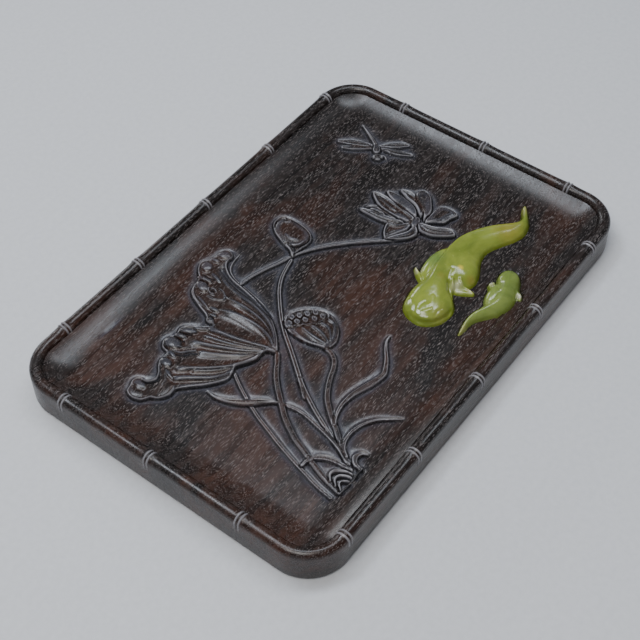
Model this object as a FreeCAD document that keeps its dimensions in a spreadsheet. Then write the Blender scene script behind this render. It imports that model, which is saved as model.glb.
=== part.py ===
import FreeCAD, Part
import Sketcher

import math
import os

# A shallow desk tray carved from one plank, with two stone catfish set in it.
# Millimetres. +X runs along the tray, +Y across it and +Z up. The origin is the
# middle of the underside. The catfish lie at -Y and the lotus roots at -X, -Y.

DIMENSIONS = {
    "board_length": 300,
    "board_width": 204,
    "board_height": 22,
    "corner_radius": 24.5,
    "foot_edge_radius": 2,
    "rim_width": 7,
    "rim_radius": 3.3,
    "crease_depth": 3.6,
    "cove_start": 7.4,
    "cove_end": 24,
    "dish_depth": 8,
    "ring_spacing": 58.9,
    "ring_radius": 3.9,
    "ring_thickness": 1.1,
    "ring_groove": 0.9,
    "relief_height": 1.3,
    "relief_root": 0.5,
    "pocket_depth": 2,
    "pocket_clearance": 0.25,
    "pocket_headroom": 2.6,
    "glue_thickness": 0.3,
    "glue_inset": 0.4,
    "fin_height": 1.4,
    "fin_gap": 0.1,
    "large_fish_length": 115,
    "large_fish_x": 7.5,
    "large_fish_y": -49.5,
    "small_fish_length": 57,
    "small_fish_x": 17,
    "small_fish_y": -72.2,
}

RINGS_ON_LONG_SIDE = 5
RINGS_ON_SHORT_SIDE = 3
FIRST_RING_BACK = -110
FIRST_RING_FRONT = -125
FIRST_RING_LEFT = -52
FIRST_RING_RIGHT = -66

# The dish sides rise ever more steeply. They are drawn at these shares of the way from
# the floor's edge out to the rim, and the height goes with the square of the share.
COVE_SHARES = (0, 0.25, 0.5, 0.75, 1)
BAND_STEPS = 8

# How tall each carved shape stands, as a share of the relief height. Later petals and
# stems are a step higher than earlier ones, so where two cross, one lies on top.
LEAF_SHARE = 1
BUD_SHARE = 0.9
SEED_POD_SHARE = 1
FIRST_PETAL_SHARE = 0.7
PETAL_SHARE_STEP = 0.04
FIRST_BAND_SHARE = 0.6
BAND_SHARE_STEP = 0.015

# Each station of a fish: place along and across its length, half width, height of
# the upright side above the dish floor and rise of the rounded back, all in
# hundredths of the fish's length.
LARGE_FISH = (
    (0.3, 0.3, 3.0, 0.8, 1.3),
    (3.1, 1.0, 7.4, 0.9, 3.0),
    (8.7, 1.2, 11.6, 0.9, 4.3),
    (15.2, 1.2, 13.0, 0.9, 5.0),
    (21.3, 2.3, 12.0, 0.9, 5.4),
    (26.1, 3.9, 9.8, 0.9, 5.6),
    (31.7, 5.4, 11.2, 0.9, 6.0),
    (40.4, 4.5, 13.2, 0.9, 6.2),
    (49.1, 4.9, 10.3, 0.9, 6.1),
    (57.8, 5.8, 8.2, 0.9, 5.8),
    (66.5, 3.6, 7.7, 0.9, 5.4),
    (74.8, -0.9, 6.4, 1.0, 4.5),
    (81.7, -4.3, 5.2, 1.1, 3.6),
    (88.0, -7.0, 3.2, 1.3, 2.2),
    (94.0, -5.4, 1.9, 1.3, 1.3),
    (99.6, -1.2, 0.8, 1.2, 0.5),
)
SMALL_FISH = (
    (0.5, 0.0, 1.2, 1.0, 0.9),
    (12.0, 2.3, 3.9, 1.4, 2.6),
    (24.0, 1.4, 5.8, 1.6, 4.4),
    (36.5, -5.4, 8.4, 1.6, 6.2),
    (49.0, -8.9, 11.1, 1.6, 7.5),
    (61.0, -7.7, 13.3, 1.6, 8.2),
    (75.0, -6.0, 12.5, 1.6, 8.2),
    (85.5, -3.9, 11.9, 1.6, 7.6),
    (94.0, -1.4, 9.1, 1.6, 5.6),
    (99.3, -0.2, 3.9, 1.4, 2.4),
)

# Fin outlines in millimetres from each fish's own origin.
LARGE_FISH_FINS = {
    "upper_fin": ((29, 14), (36, 19), (37, 23.5), (34.5, 24), (31.5, 20)),
    "lower_fin": ((33, -4), (40, -6), (39.5, -14), (37.5, -15), (34.5, -10)),
}
SMALL_FISH_FINS = {
    "upper_fin": ((35, 2), (37.5, 6), (41.5, 6), (44, 2)),
    "lower_fin": ((40, -9), (41.5, -14.5), (44, -12.5), (46, -8)),
}

# Relief outlines in the tray's frame, in millimetres.
LEAF = (
    (-53, -1), (-56, 4), (-63, 4.5), (-68, 7), (-74, 10.5), (-78, 9), (-84, 9), (-93, 16),
    (-104, 26), (-108, 26), (-113, 29), (-117, 34), (-121, 38), (-121, 45), (-116, 48),
    (-111, 47), (-108, 41.5), (-105, 40), (-97, 45), (-92, 46), (-88, 47), (-86, 52),
    (-82, 53.5), (-77, 50.5), (-71, 51.5), (-67, 49), (-63, 42), (-59, 38.5), (-58, 43),
    (-55, 47), (-53, 55), (-49, 62), (-44, 66), (-37, 67.5), (-31, 73), (-26, 73.5),
    (-20, 71), (-14, 70), (-11, 66), (-14, 62.5), (-21, 61.5), (-25.5, 54), (-28, 40),
    (-31, 28), (-36, 15), (-42, 8), (-48, 2),
)
BUD = (
    (10.5, 36), (11.7, 43), (14, 49.5), (17, 55), (20.5, 59), (25, 60.5), (30, 58.5),
    (31, 51), (30, 44), (27.5, 37.5), (23, 34), (16, 34),
)
PETALS = {
    "petal_left": ((69, -3), (63, 3), (61, 10), (60.5, 19), (61.5, 26), (65, 21), (68, 8)),
    "petal_centre": ((71, -4), (69, 5), (69.5, 14), (73, 23), (78, 28), (79.5, 20), (76, 4)),
    "petal_right": ((75, -3), (77, 5), (79, 15), (83.5, 22), (85, 13), (82, 1)),
    "petal_far_right": ((78, -5), (83, 3), (85, 10), (89, 16), (90, 9), (85, -2)),
    "petal_round": ((77, -8), (84, -2), (90, 6), (95, 6.5), (96, 0), (91, -5), (84, -9)),
    "petal_sepal": ((51, 1.5), (56, 5), (62, 6.5), (67, 0), (71, -4), (63, -6), (58, -2)),
    "petal_hanging": ((72, -8), (68, -12), (68.5, -19), (71, -24), (77, -30.5), (79.5, -27),
                      (79, -23), (75.5, -17), (74, -11)),
    "petal_low": ((75, -10), (84, -9.5), (91, -11), (93.5, -17), (92, -23), (83, -20),
                  (79, -15)),
}
SEED_POD = (
    (-33, 9), (-24, 8), (-17, 1), (-15, -8), (-18, -16), (-25, -22), (-33, -21.5),
    (-37, -14), (-38, -5), (-36, 4),
)

# Stems, blades and wings: the line each follows, and its half width at both ends
# and in the middle, in millimetres.
BANDS = {
    "leaf_stem": (((-53, -1), (-64, -9), (-75, -21), (-84, -31), (-92, -45), (-97, -57),
                   (-101, -69), (-103, -79.5)), (1.5, 1.5, 1.5)),
    "thin_stem": (((-77, 8.5), (-84, -3), (-92, -19), (-98, -38), (-104, -59), (-108, -78.5)),
                  (0.8, 1.0, 1.0)),
    "spindle_blade": (((-95, 12), (-95, 4), (-91, -5), (-84, -14), (-78, -22)),
                      (0.5, 2.2, 0.6)),
    "spindle_stem": (((-78, -22), (-76, -34), (-78, -48), (-83, -66), (-87, -74)),
                     (0.8, 1.0, 1.1)),
    "bud_stem": (((8, 36), (-3, 32), (-17, 26), (-34, 9.5), (-53, -14), (-71, -40), (-84, -68),
                  (-87, -75)), (1.1, 1.3, 1.2)),
    "blossom_stem": (((67, -12), (56, -6), (44, 6), (31, 19.5), (17, 30.5), (-1, 38),
                      (-14, 43), (-27, 45)), (1.4, 1.1, 0.9)),
    "pod_stem": (((-34, -21), (-38, -29), (-48, -34), (-61, -41), (-73, -56), (-86, -73)),
                 (1.3, 1.4, 1.3)),
    "long_blade": (((-72, -54), (-66, -51), (-52, -50), (-37, -54.5), (-27, -54.5), (-16, -47),
                    (-7, -43)), (0.7, 1.9, 0.6)),
    "low_blade": (((-86, -72), (-77, -64.5), (-64, -65), (-53, -74), (-48, -81)),
                  (1.1, 1.2, 1.0)),
    "bent_blade": (((-102, -55.5), (-94, -58), (-90, -66), (-89, -77)), (1.0, 1.4, 1.4)),
    "root_scale_outer": (((-101, -79), (-98, -71.5), (-93, -72.5), (-91, -79)), (1.0, 1.4, 1.0)),
    "root_scale_inner": (((-99, -80), (-97, -76), (-94, -76.5), (-93, -80)), (0.7, 1.0, 0.7)),
    "root_leaf": (((-86, -80), (-84, -75), (-79, -75.5), (-76.5, -79)), (0.9, 1.3, 0.5)),
    "wing_one": (((110, 52), (104, 60), (98.5, 66)), (1.2, 2.0, 0.8)),
    "wing_two": (((111, 54), (106, 63), (101.5, 71)), (1.2, 2.0, 0.8)),
    "wing_three": (((113, 48), (119, 41), (124, 34.5)), (1.2, 2.0, 1.2)),
    "wing_four": (((112, 46), (115, 37), (118, 28.5)), (1.2, 2.2, 1.2)),
    "dragonfly_body": (((102.5, 42), (108, 47), (113, 53), (121.5, 67)), (1.6, 2.4, 0.6)),
}


def make_sheet(doc):
    """The driving dimensions, each a plain number with a word for an alias."""
    sheet = doc.addObject("Spreadsheet::Sheet", "Dimensions")
    for row, (alias, value) in enumerate(DIMENSIONS.items(), start=1):
        sheet.set(f"A{row}", alias)
        sheet.set(f"B{row}", str(value))
        sheet.setAlias(f"B{row}", alias)
    doc.recompute()
    return sheet


def cell(alias):
    """How an expression names one cell of the sheet."""
    return f"Dimensions.{alias}"


def value_of(sheet, expression):
    """The number that an expression gives with the sheet as it stands."""
    result = sheet.evalExpression(expression)
    return float(getattr(result, "Value", result))


def make_body(doc, name):
    body = doc.addObject("PartDesign::Body", name)
    body.Label = name
    return body


def origin_feature(body, role):
    return next(feature for feature in body.Origin.OriginFeatures if feature.Role == role)


def make_sketch(body, name, role, offset):
    """A sketch on one of the body's own origin planes, moved by expressions."""
    sketch = body.newObject("Sketcher::SketchObject", name)
    sketch.AttachmentSupport = [(origin_feature(body, role), "")]
    sketch.MapMode = "FlatFace"
    for axis, expression in offset.items():
        sketch.setExpression(f".AttachmentOffset.Base.{axis}", expression)
    return sketch


def add_rounded_rectangle(sheet, sketch, length, width, radius):
    """A fully constrained rounded rectangle about the sketch's origin."""
    half_x = value_of(sheet, length) / 2
    half_y = value_of(sheet, width) / 2
    bend = value_of(sheet, radius)
    corners = ((1, 1), (-1, 1), (-1, -1), (1, -1))
    arcs = []
    for index, (side_x, side_y) in enumerate(corners):
        centre = FreeCAD.Vector(side_x * (half_x - bend), side_y * (half_y - bend), 0)
        circle = Part.Circle(centre, FreeCAD.Vector(0, 0, 1), bend)
        start = index * math.pi / 2
        arcs.append(sketch.addGeometry(Part.ArcOfCircle(circle, start, start + math.pi / 2)))
    lines = []
    for index in range(4):
        here = sketch.Geometry[arcs[index]].EndPoint
        there = sketch.Geometry[arcs[(index + 1) % 4]].StartPoint
        lines.append(sketch.addGeometry(Part.LineSegment(here, there)))
    for index in range(4):
        following = arcs[(index + 1) % 4]
        sketch.addConstraint(Sketcher.Constraint("Tangent", arcs[index], 2, lines[index], 1))
        sketch.addConstraint(Sketcher.Constraint("Tangent", lines[index], 2, following, 1))
    for index in (0, 2):
        sketch.addConstraint(Sketcher.Constraint("Horizontal", lines[index]))
    for index in (1, 3):
        sketch.addConstraint(Sketcher.Constraint("Vertical", lines[index]))
    for index in (1, 2, 3):
        sketch.addConstraint(Sketcher.Constraint("Equal", arcs[0], arcs[index]))
    sketch.addConstraint(Sketcher.Constraint("Symmetric", arcs[0], 3, arcs[2], 3, -1, 1))
    named = (
        ("radius", Sketcher.Constraint("Radius", arcs[0], bend), radius),
        ("length", Sketcher.Constraint("DistanceX", arcs[1], 3, arcs[0], 3,
                                       2 * (half_x - bend)), f"{length} - 2 * ({radius})"),
        ("width", Sketcher.Constraint("DistanceY", arcs[3], 3, arcs[0], 3,
                                      2 * (half_y - bend)), f"{width} - 2 * ({radius})"),
    )
    for name, constraint, expression in named:
        number = sketch.addConstraint(constraint)
        sketch.renameConstraint(number, name)
        sketch.setExpression(f"Constraints.{name}", expression)


def add_closed_spline(sketch, points):
    """One smooth closed outline through the points."""
    curve = Part.BSplineCurve()
    curve.interpolate(Points=[FreeCAD.Vector(x, y, 0) for x, y in points], PeriodicFlag=True)
    sketch.addGeometry(curve, False)


def add_feature(body, kind, name, sketch, length, reversed_side=False):
    """A pad or pocket of one sketch, with its length bound to the sheet."""
    feature = body.newObject(f"PartDesign::{kind}", name)
    feature.Profile = sketch
    feature.setExpression("Length", length)
    feature.Reversed = reversed_side
    return feature


def level_edges(shape, level):
    """Names of the edges that lie wholly at one height."""
    names = []
    for number, edge in enumerate(shape.Edges, start=1):
        box = edge.BoundBox
        if abs(box.ZMin - level) < 1e-4 and abs(box.ZMax - level) < 1e-4:
            names.append(f"Edge{number}")
    return names


def add_fillet(body, name, base, level, radius):
    """Rounds every edge of the base feature at one height."""
    fillet = body.newObject("PartDesign::Fillet", name)
    fillet.Base = (base, level_edges(base.Shape, level))
    fillet.setExpression("Radius", radius)
    return fillet


def add_board(doc, sheet, body):
    """The plank with rounded corners and a rounded rod standing up as its rim."""
    length = cell("board_length")
    width = cell("board_width")
    height = cell("board_height")
    radius = cell("corner_radius")
    outline = make_sketch(body, "board_outline", "XY_Plane", {})
    add_rounded_rectangle(sheet, outline, length, width, radius)
    plank = add_feature(body, "Pad", "plank", outline, height)
    doc.recompute()
    add_fillet(body, "foot_edge", plank, 0, cell("foot_edge_radius"))
    step = cell("rim_width")
    inner = make_sketch(body, "rim_inner_outline", "XY_Plane", {"z": height})
    add_rounded_rectangle(sheet, inner, f"{length} - 2 * {step}", f"{width} - 2 * {step}",
                          f"{radius} - {step}")
    step_cut = add_feature(body, "Pocket", "rim_step", inner, cell("crease_depth"))
    doc.recompute()
    add_fillet(body, "rim_rod", step_cut, value_of(sheet, height), cell("rim_radius"))
    doc.recompute()


def add_dish(doc, sheet, body):
    """The dish: a hollow whose sides curve down to a flat floor."""
    top = cell("crease_depth")
    depth = cell("dish_depth")
    sections = []
    for number, share in enumerate(COVE_SHARES):
        inset = (f"({cell('cove_end')} - ({cell('cove_end')} - {cell('cove_start')})"
                 f" * {share})")
        level = f"{cell('board_height')} - {depth} + ({depth} - {top}) * {share ** 2}"
        section = make_sketch(body, f"dish_section_{number}", "XY_Plane", {"z": level})
        add_rounded_rectangle(sheet, section, f"{cell('board_length')} - 2 * {inset}",
                              f"{cell('board_width')} - 2 * {inset}",
                              f"{cell('corner_radius')} - {inset}")
        sections.append(section)
    dish = body.newObject("PartDesign::SubtractiveLoft", "dish")
    dish.Profile = sections[0]
    dish.Sections = sections[1:]
    dish.Ruled = True
    doc.recompute()


def add_ring_row(doc, sheet, body, name, side_plane, side, first, along, count):
    """One side's bamboo rings: two thin discs round the rod, repeated along the side."""
    if side_plane == "YZ_Plane":
        reach = f"{cell('board_width')} / 2 - {cell('rim_radius')}"
    else:
        reach = f"{cell('board_length')} / 2 - {cell('rim_radius')}"
    level = f"{cell('board_height')} - {cell('rim_radius')}"
    centre_across = side * value_of(sheet, reach)
    centre_up = value_of(sheet, level)
    radius = value_of(sheet, cell("ring_radius"))
    spread = f"({cell('ring_groove')} + {cell('ring_thickness')})"
    discs = []
    for number, way in enumerate((-0.5, 0.5)):
        start = f"{first} + {way} * {spread} - {cell('ring_thickness')} / 2"
        if side_plane == "XZ_Plane":
            start = f"-({start})"
        sketch = make_sketch(body, f"{name}_disc_{number}", side_plane, {"z": start})
        centre = FreeCAD.Vector(centre_across, centre_up, 0)
        circle = Part.Circle(centre, FreeCAD.Vector(0, 0, 1), radius)
        sketch.addGeometry(circle)
        for label, constraint, expression in (
            ("across", Sketcher.Constraint("DistanceX", -1, 1, 0, 3, centre_across),
             f"{side} * ({reach})"),
            ("up", Sketcher.Constraint("DistanceY", -1, 1, 0, 3, centre_up), level),
            ("radius", Sketcher.Constraint("Radius", 0, radius), cell("ring_radius")),
        ):
            index = sketch.addConstraint(constraint)
            sketch.renameConstraint(index, label)
            sketch.setExpression(f"Constraints.{label}", expression)
        back = side_plane == "XZ_Plane"
        discs.append(add_feature(body, "Pad", f"{name}_ridge_{number}", sketch,
                                 cell("ring_thickness"), back))
        doc.recompute()
    row = body.newObject("PartDesign::LinearPattern", f"{name}_row")
    row.Originals = discs
    row.Direction = (origin_feature(body, along), [""])
    row.setExpression("Length", f"{cell('ring_spacing')} * {count - 1}")
    row.Occurrences = count
    body.Tip = row
    doc.recompute()


def add_rings(doc, sheet, body):
    rows = (
        ("back_ring", "YZ_Plane", 1, FIRST_RING_BACK, "X_Axis", RINGS_ON_LONG_SIDE),
        ("front_ring", "YZ_Plane", -1, FIRST_RING_FRONT, "X_Axis", RINGS_ON_LONG_SIDE),
        ("left_ring", "XZ_Plane", -1, FIRST_RING_LEFT, "Y_Axis", RINGS_ON_SHORT_SIDE),
        ("right_ring", "XZ_Plane", 1, FIRST_RING_RIGHT, "Y_Axis", RINGS_ON_SHORT_SIDE),
    )
    for row in rows:
        add_ring_row(doc, sheet, body, *row)


def smooth_line(points):
    line = Part.BSplineCurve()
    line.interpolate(Points=[FreeCAD.Vector(x, y, 0) for x, y in points])
    return line


def band_outline(points, half_widths):
    """The outline of a stem or blade that follows a line, with its own half widths."""
    line = smooth_line(points)
    first, last = line.FirstParameter, line.LastParameter
    start, middle, end = half_widths
    left = []
    right = []
    for step in range(BAND_STEPS + 1):
        share = step / BAND_STEPS
        place = line.value(first + (last - first) * share)
        heading = line.tangent(first + (last - first) * share)[0]
        swell = 4 * share * (1 - share)
        half = start + (end - start) * share + (middle - (start + end) / 2) * swell
        side = FreeCAD.Vector(-heading.y, heading.x, 0) * half
        left.append(place + side)
        right.append(place - side)
    return [(point.x, point.y) for point in left + right[::-1]]


def make_relief(doc, name, outline, share):
    """One raised shape of the carving; share is its part of the relief height."""
    body = make_body(doc, f"relief_{name}")
    root = cell("relief_root")
    floor = f"{cell('board_height')} - {cell('dish_depth')} - {root}"
    sketch = make_sketch(body, f"{name}_outline", "XY_Plane", {"z": floor})
    add_closed_spline(sketch, outline)
    add_feature(body, "Pad", name, sketch, f"{root} + {cell('relief_height')} * {share}")
    return body


def add_relief(doc, body):
    """Joins the lotus plant and the dragonfly to the dish floor, all in one step."""
    shapes = [
        make_relief(doc, "leaf", LEAF, LEAF_SHARE),
        make_relief(doc, "bud", BUD, BUD_SHARE),
        make_relief(doc, "seed_pod", SEED_POD, SEED_POD_SHARE),
    ]
    for number, (name, outline) in enumerate(PETALS.items()):
        share = FIRST_PETAL_SHARE + PETAL_SHARE_STEP * number
        shapes.append(make_relief(doc, name, outline, share))
    for number, (name, (points, half_widths)) in enumerate(BANDS.items()):
        outline = band_outline(points, half_widths)
        share = FIRST_BAND_SHARE + BAND_SHARE_STEP * number
        shapes.append(make_relief(doc, name, outline, share))
    doc.recompute()
    before = body.Shape.Volume
    joined = body.newObject("PartDesign::Boolean", "relief")
    joined.Type = "Fuse"
    joined.addObjects(shapes)
    joined.Refine = False
    doc.recompute()
    if body.Shape.Volume <= before:
        raise RuntimeError("the relief adds nothing")


def station_heading(stations, index):
    """The angle of a fish's middle line at one station, in degrees from +X."""
    before = stations[max(index - 1, 0)]
    after = stations[min(index + 1, len(stations) - 1)]
    return math.degrees(math.atan2(after[1] - before[1], after[0] - before[0]))


def add_section(sheet, body, name, stations, index, frame, half_width, side, rise):
    """An upright section across a fish: a box with a rounded back, or a plain box."""
    along, across = stations[index][:2]
    length = frame["length"]
    offset = {
        "z": f"{frame['x']} + {length} * {along} / 100",
        "x": f"{frame['y']} + {length} * {across} / 100",
        "y": frame["z"],
    }
    sketch = make_sketch(body, name, "YZ_Plane", offset)
    turn = FreeCAD.Rotation(FreeCAD.Vector(0, 1, 0), station_heading(stations, index))
    sketch.AttachmentOffset = FreeCAD.Placement(FreeCAD.Vector(), turn)
    half = value_of(sheet, half_width)
    tall = value_of(sheet, side)
    corners = [FreeCAD.Vector(-half, 0, 0), FreeCAD.Vector(half, 0, 0),
               FreeCAD.Vector(half, tall, 0), FreeCAD.Vector(-half, tall, 0)]
    base, right, left = 0, 1, 2
    sketch.addGeometry(Part.LineSegment(corners[0], corners[1]))
    sketch.addGeometry(Part.LineSegment(corners[1], corners[2]))
    sketch.addGeometry(Part.LineSegment(corners[3], corners[0]))
    if rise is None:
        sketch.addGeometry(Part.LineSegment(corners[2], corners[3]))
    else:
        crown = FreeCAD.Vector(0, tall + value_of(sheet, rise), 0)
        sketch.addGeometry(Part.Arc(corners[2], crown, corners[3]))
    top = 3
    top_start, top_end = (1, 2)
    sketch.addConstraint(Sketcher.Constraint("Coincident", base, 2, right, 1))
    sketch.addConstraint(Sketcher.Constraint("Coincident", right, 2, top, top_start))
    sketch.addConstraint(Sketcher.Constraint("Coincident", top, top_end, left, 1))
    sketch.addConstraint(Sketcher.Constraint("Coincident", left, 2, base, 1))
    sketch.addConstraint(Sketcher.Constraint("Symmetric", base, 1, base, 2, -1, 1))
    sketch.addConstraint(Sketcher.Constraint("Horizontal", base))
    sketch.addConstraint(Sketcher.Constraint("Vertical", right))
    sketch.addConstraint(Sketcher.Constraint("Vertical", left))
    named = [
        ("width", Sketcher.Constraint("DistanceX", base, 1, base, 2, 2 * half),
         f"2 * ({half_width})"),
        ("side", Sketcher.Constraint("DistanceY", right, 1, right, 2, tall), side),
    ]
    if rise is None:
        sketch.addConstraint(Sketcher.Constraint("Horizontal", top))
    else:
        sketch.addConstraint(Sketcher.Constraint("Equal", left, right))
        bend = f"(({half_width}) ^ 2 + ({rise}) ^ 2) / (2 * ({rise}))"
        named.append(("bend", Sketcher.Constraint("Radius", top, value_of(sheet, bend)), bend))
    for label, constraint, expression in named:
        number = sketch.addConstraint(constraint)
        sketch.renameConstraint(number, label)
        sketch.setExpression(f"Constraints.{label}", expression)
    return sketch


def add_loft(doc, body, kind, name, sections):
    loft = body.newObject(f"PartDesign::{kind}", name)
    loft.Profile = sections[0]
    loft.Sections = sections[1:]
    doc.recompute()
    return loft


def fish_frame(fish, in_tray):
    """Where a fish's stations are measured from, in the tray or in its own body."""
    frame = {"length": cell(f"{fish}_length"), "x": "0", "y": "0", "z": "0"}
    if in_tray:
        frame["x"] = cell(f"{fish}_x")
        frame["y"] = cell(f"{fish}_y")
        frame["z"] = f"{cell('board_height')} - {cell('dish_depth')} - {cell('pocket_depth')}"
    return frame


def plain_sections(sheet, body, name, stations, frame, growth, tall):
    """Box sections along a fish, wider than it by the growth on each side."""
    sections = []
    for index, station in enumerate(stations):
        half = f"{frame['length']} * {station[2]} / 100 + {growth}"
        sections.append(add_section(sheet, body, f"{name}_{index}", stations, index, frame,
                                    half, tall, None))
    return sections


def add_end_caps(doc, sheet, body, name, stations, frame, growth, tall):
    """Room beyond the first and last section, so a pocket is longer than its fish too."""
    for index, way in ((0, 180), (len(stations) - 1, 0)):
        half = f"{frame['length']} * {stations[index][2]} / 100 + {growth}"
        section = add_section(sheet, body, f"{name}_end_{index}", stations, index, frame,
                              half, tall, None)
        add_feature(body, "Pocket", f"{name}_end_cut_{index}", section,
                    cell("pocket_clearance"), way == 0)
        doc.recompute()


def add_inlay_pocket(doc, sheet, body, fish, stations):
    """The shallow pocket in the dish floor that a fish is let into."""
    frame = fish_frame(fish, True)
    tall = f"{cell('pocket_depth')} + {cell('pocket_headroom')}"
    growth = cell("pocket_clearance")
    sections = plain_sections(sheet, body, f"{fish}_pocket", stations, frame, growth, tall)
    before = body.Shape.Volume
    add_loft(doc, body, "SubtractiveLoft", f"{fish}_pocket", sections)
    add_end_caps(doc, sheet, body, f"{fish}_pocket", stations, frame, growth, tall)
    if body.Shape.Volume >= before:
        raise RuntimeError(f"{fish} pocket cuts nothing")


def make_tray(doc, sheet):
    body = make_body(doc, "tray_board")
    add_board(doc, sheet, body)
    add_dish(doc, sheet, body)
    add_inlay_pocket(doc, sheet, body, "large_fish", LARGE_FISH)
    add_inlay_pocket(doc, sheet, body, "small_fish", SMALL_FISH)
    add_rings(doc, sheet, body)
    add_relief(doc, body)
    return body


def place_in_pocket(body, fish, lift):
    """Stands a body in its fish's pocket, raised by the lift."""
    frame = fish_frame(fish, True)
    body.setExpression(".Placement.Base.x", frame["x"])
    body.setExpression(".Placement.Base.y", frame["y"])
    body.setExpression(".Placement.Base.z", f"{frame['z']} + {lift}")


def make_catfish(doc, sheet, name, fish, stations, fins):
    """A stone catfish: a rounded body that sinks into its pocket, and two flat fins."""
    body = make_body(doc, name)
    frame = fish_frame(fish, False)
    length = frame["length"]
    sunk = f"({cell('pocket_depth')} - {cell('glue_thickness')})"
    sections = []
    for index, station in enumerate(stations):
        side = f"{sunk} + {length} * {station[3]} / 100"
        sections.append(add_section(sheet, body, f"{name}_section_{index}", stations, index,
                                    frame, f"{length} * {station[2]} / 100", side,
                                    f"{length} * {station[4]} / 100"))
    add_loft(doc, body, "AdditiveLoft", f"{name}_body", sections)
    for fin, outline in fins.items():
        sketch = make_sketch(body, f"{name}_{fin}_outline", "XY_Plane",
                             {"z": f"{sunk} + {cell('fin_gap')}"})
        add_closed_spline(sketch, outline)
        add_feature(body, "Pad", f"{name}_{fin}", sketch, cell("fin_height"))
        doc.recompute()
    place_in_pocket(body, fish, cell("glue_thickness"))
    return body


def make_glue_bed(doc, sheet, name, fish, stations):
    """The thin bed of glue on the floor of a pocket."""
    body = make_body(doc, name)
    growth = f"(-{cell('glue_inset')})"
    sections = plain_sections(sheet, body, name, stations, fish_frame(fish, False), growth,
                              cell("glue_thickness"))
    add_loft(doc, body, "AdditiveLoft", f"{name}_body", sections)
    place_in_pocket(body, fish, "0")
    return body


def check_document(doc, bodies):
    """Stops if any object failed or any sub-part is not a sound solid."""
    for item in doc.Objects:
        if "Invalid" in item.State or "Error" in item.State:
            raise RuntimeError(f"{item.Name} failed: {item.State}")
    for body in bodies:
        if body.Shape.isNull() or not body.Shape.isValid():
            raise RuntimeError(f"{body.Label} is not a valid shape")
        print(body.Label, len(body.Shape.Solids), "solid", round(body.Shape.Volume), "mm3")


def main():
    doc = FreeCAD.newDocument("CatfishTray")
    sheet = make_sheet(doc)
    bodies = [
        make_tray(doc, sheet),
        make_catfish(doc, sheet, "large_catfish", "large_fish", LARGE_FISH, LARGE_FISH_FINS),
        make_catfish(doc, sheet, "small_catfish", "small_fish", SMALL_FISH, SMALL_FISH_FINS),
        make_glue_bed(doc, sheet, "large_catfish_glue_bed", "large_fish", LARGE_FISH),
        make_glue_bed(doc, sheet, "small_catfish_glue_bed", "small_fish", SMALL_FISH),
    ]
    doc.recompute()
    check_document(doc, bodies)
    os.makedirs("parts", exist_ok=True)
    for body in bodies:
        body.Shape.exportStep(f"parts/{body.Label}.step")


main()
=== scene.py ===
import math

import bpy
import numpy as np
from mathutils import Matrix, Vector


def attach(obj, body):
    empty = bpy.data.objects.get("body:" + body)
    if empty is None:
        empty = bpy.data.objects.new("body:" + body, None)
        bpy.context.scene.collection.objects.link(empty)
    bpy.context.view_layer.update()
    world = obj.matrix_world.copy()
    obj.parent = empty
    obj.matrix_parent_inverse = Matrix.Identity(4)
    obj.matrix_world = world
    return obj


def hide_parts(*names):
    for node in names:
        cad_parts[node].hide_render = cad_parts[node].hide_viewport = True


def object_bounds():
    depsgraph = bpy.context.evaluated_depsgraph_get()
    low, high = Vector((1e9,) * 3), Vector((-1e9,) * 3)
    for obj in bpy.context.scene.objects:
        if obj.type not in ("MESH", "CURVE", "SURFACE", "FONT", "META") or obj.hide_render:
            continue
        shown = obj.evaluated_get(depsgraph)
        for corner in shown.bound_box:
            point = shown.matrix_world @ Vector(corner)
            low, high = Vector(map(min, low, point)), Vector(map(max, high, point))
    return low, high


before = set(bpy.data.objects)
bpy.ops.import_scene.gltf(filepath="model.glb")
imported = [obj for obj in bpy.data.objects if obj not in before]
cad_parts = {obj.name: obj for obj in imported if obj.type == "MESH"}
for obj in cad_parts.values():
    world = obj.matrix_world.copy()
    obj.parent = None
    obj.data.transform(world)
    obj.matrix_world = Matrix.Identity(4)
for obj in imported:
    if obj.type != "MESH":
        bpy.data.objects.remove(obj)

# The carved tray and its two stone catfish. Lengths are in millimetres in the row frame,
# and the meshes are turned into metres at the end. The tray's section counts heights from
# its underside. The carving and the catfish count them from the dish floor.
CAD_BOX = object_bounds()
MM = 0.001

# The tray's section. An inset is a distance inward from the outside edge. The cove is
# the curved side of the dish, between the rod of the rim and the floor.
BOARD_LENGTH = 300.0
BOARD_WIDTH = 204.0
RIM_TOP = 22.0
FLOOR = 14.0
CORNER_RADIUS = 24.5
FOOT_RADIUS = 2.0
WALL_LEVELS = (4.5, 7.5, 10.5, 12.5, 14.0, 15.5, 17.0)
ROD_RADIUS = 3.5
CREASE_INSET = 7.0
CREASE_DEPTH = 3.7
CREASE_WIDTH = 0.25
COVE_START = 7.6
COVE_END = 24.0
COVE_HEIGHT = RIM_TOP - CREASE_DEPTH + 0.5 - FLOOR
HALF_X = BOARD_LENGTH / 2
HALF_Y = BOARD_WIDTH / 2
STRAIGHT_X = HALF_X - CORNER_RADIUS
STRAIGHT_Y = HALF_Y - CORNER_RADIUS

# The bamboo rings: each is a pair of ridges with a groove between them, on a low knuckle.
RINGS = 16
FIRST_RING_X = -65.2
RIDGE_OFFSET = 1.1
RIDGE_HEIGHT = 0.6
RIDGE_WIDTH = 0.42
GROOVE_DEPTH = 0.2
GROOVE_WIDTH = 0.5
KNUCKLE_HEIGHT = 0.3
KNUCKLE_WIDTH = 5.0
RING_FADE_LOW = 11.0
RING_FADE_HIGH = 17.0

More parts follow.
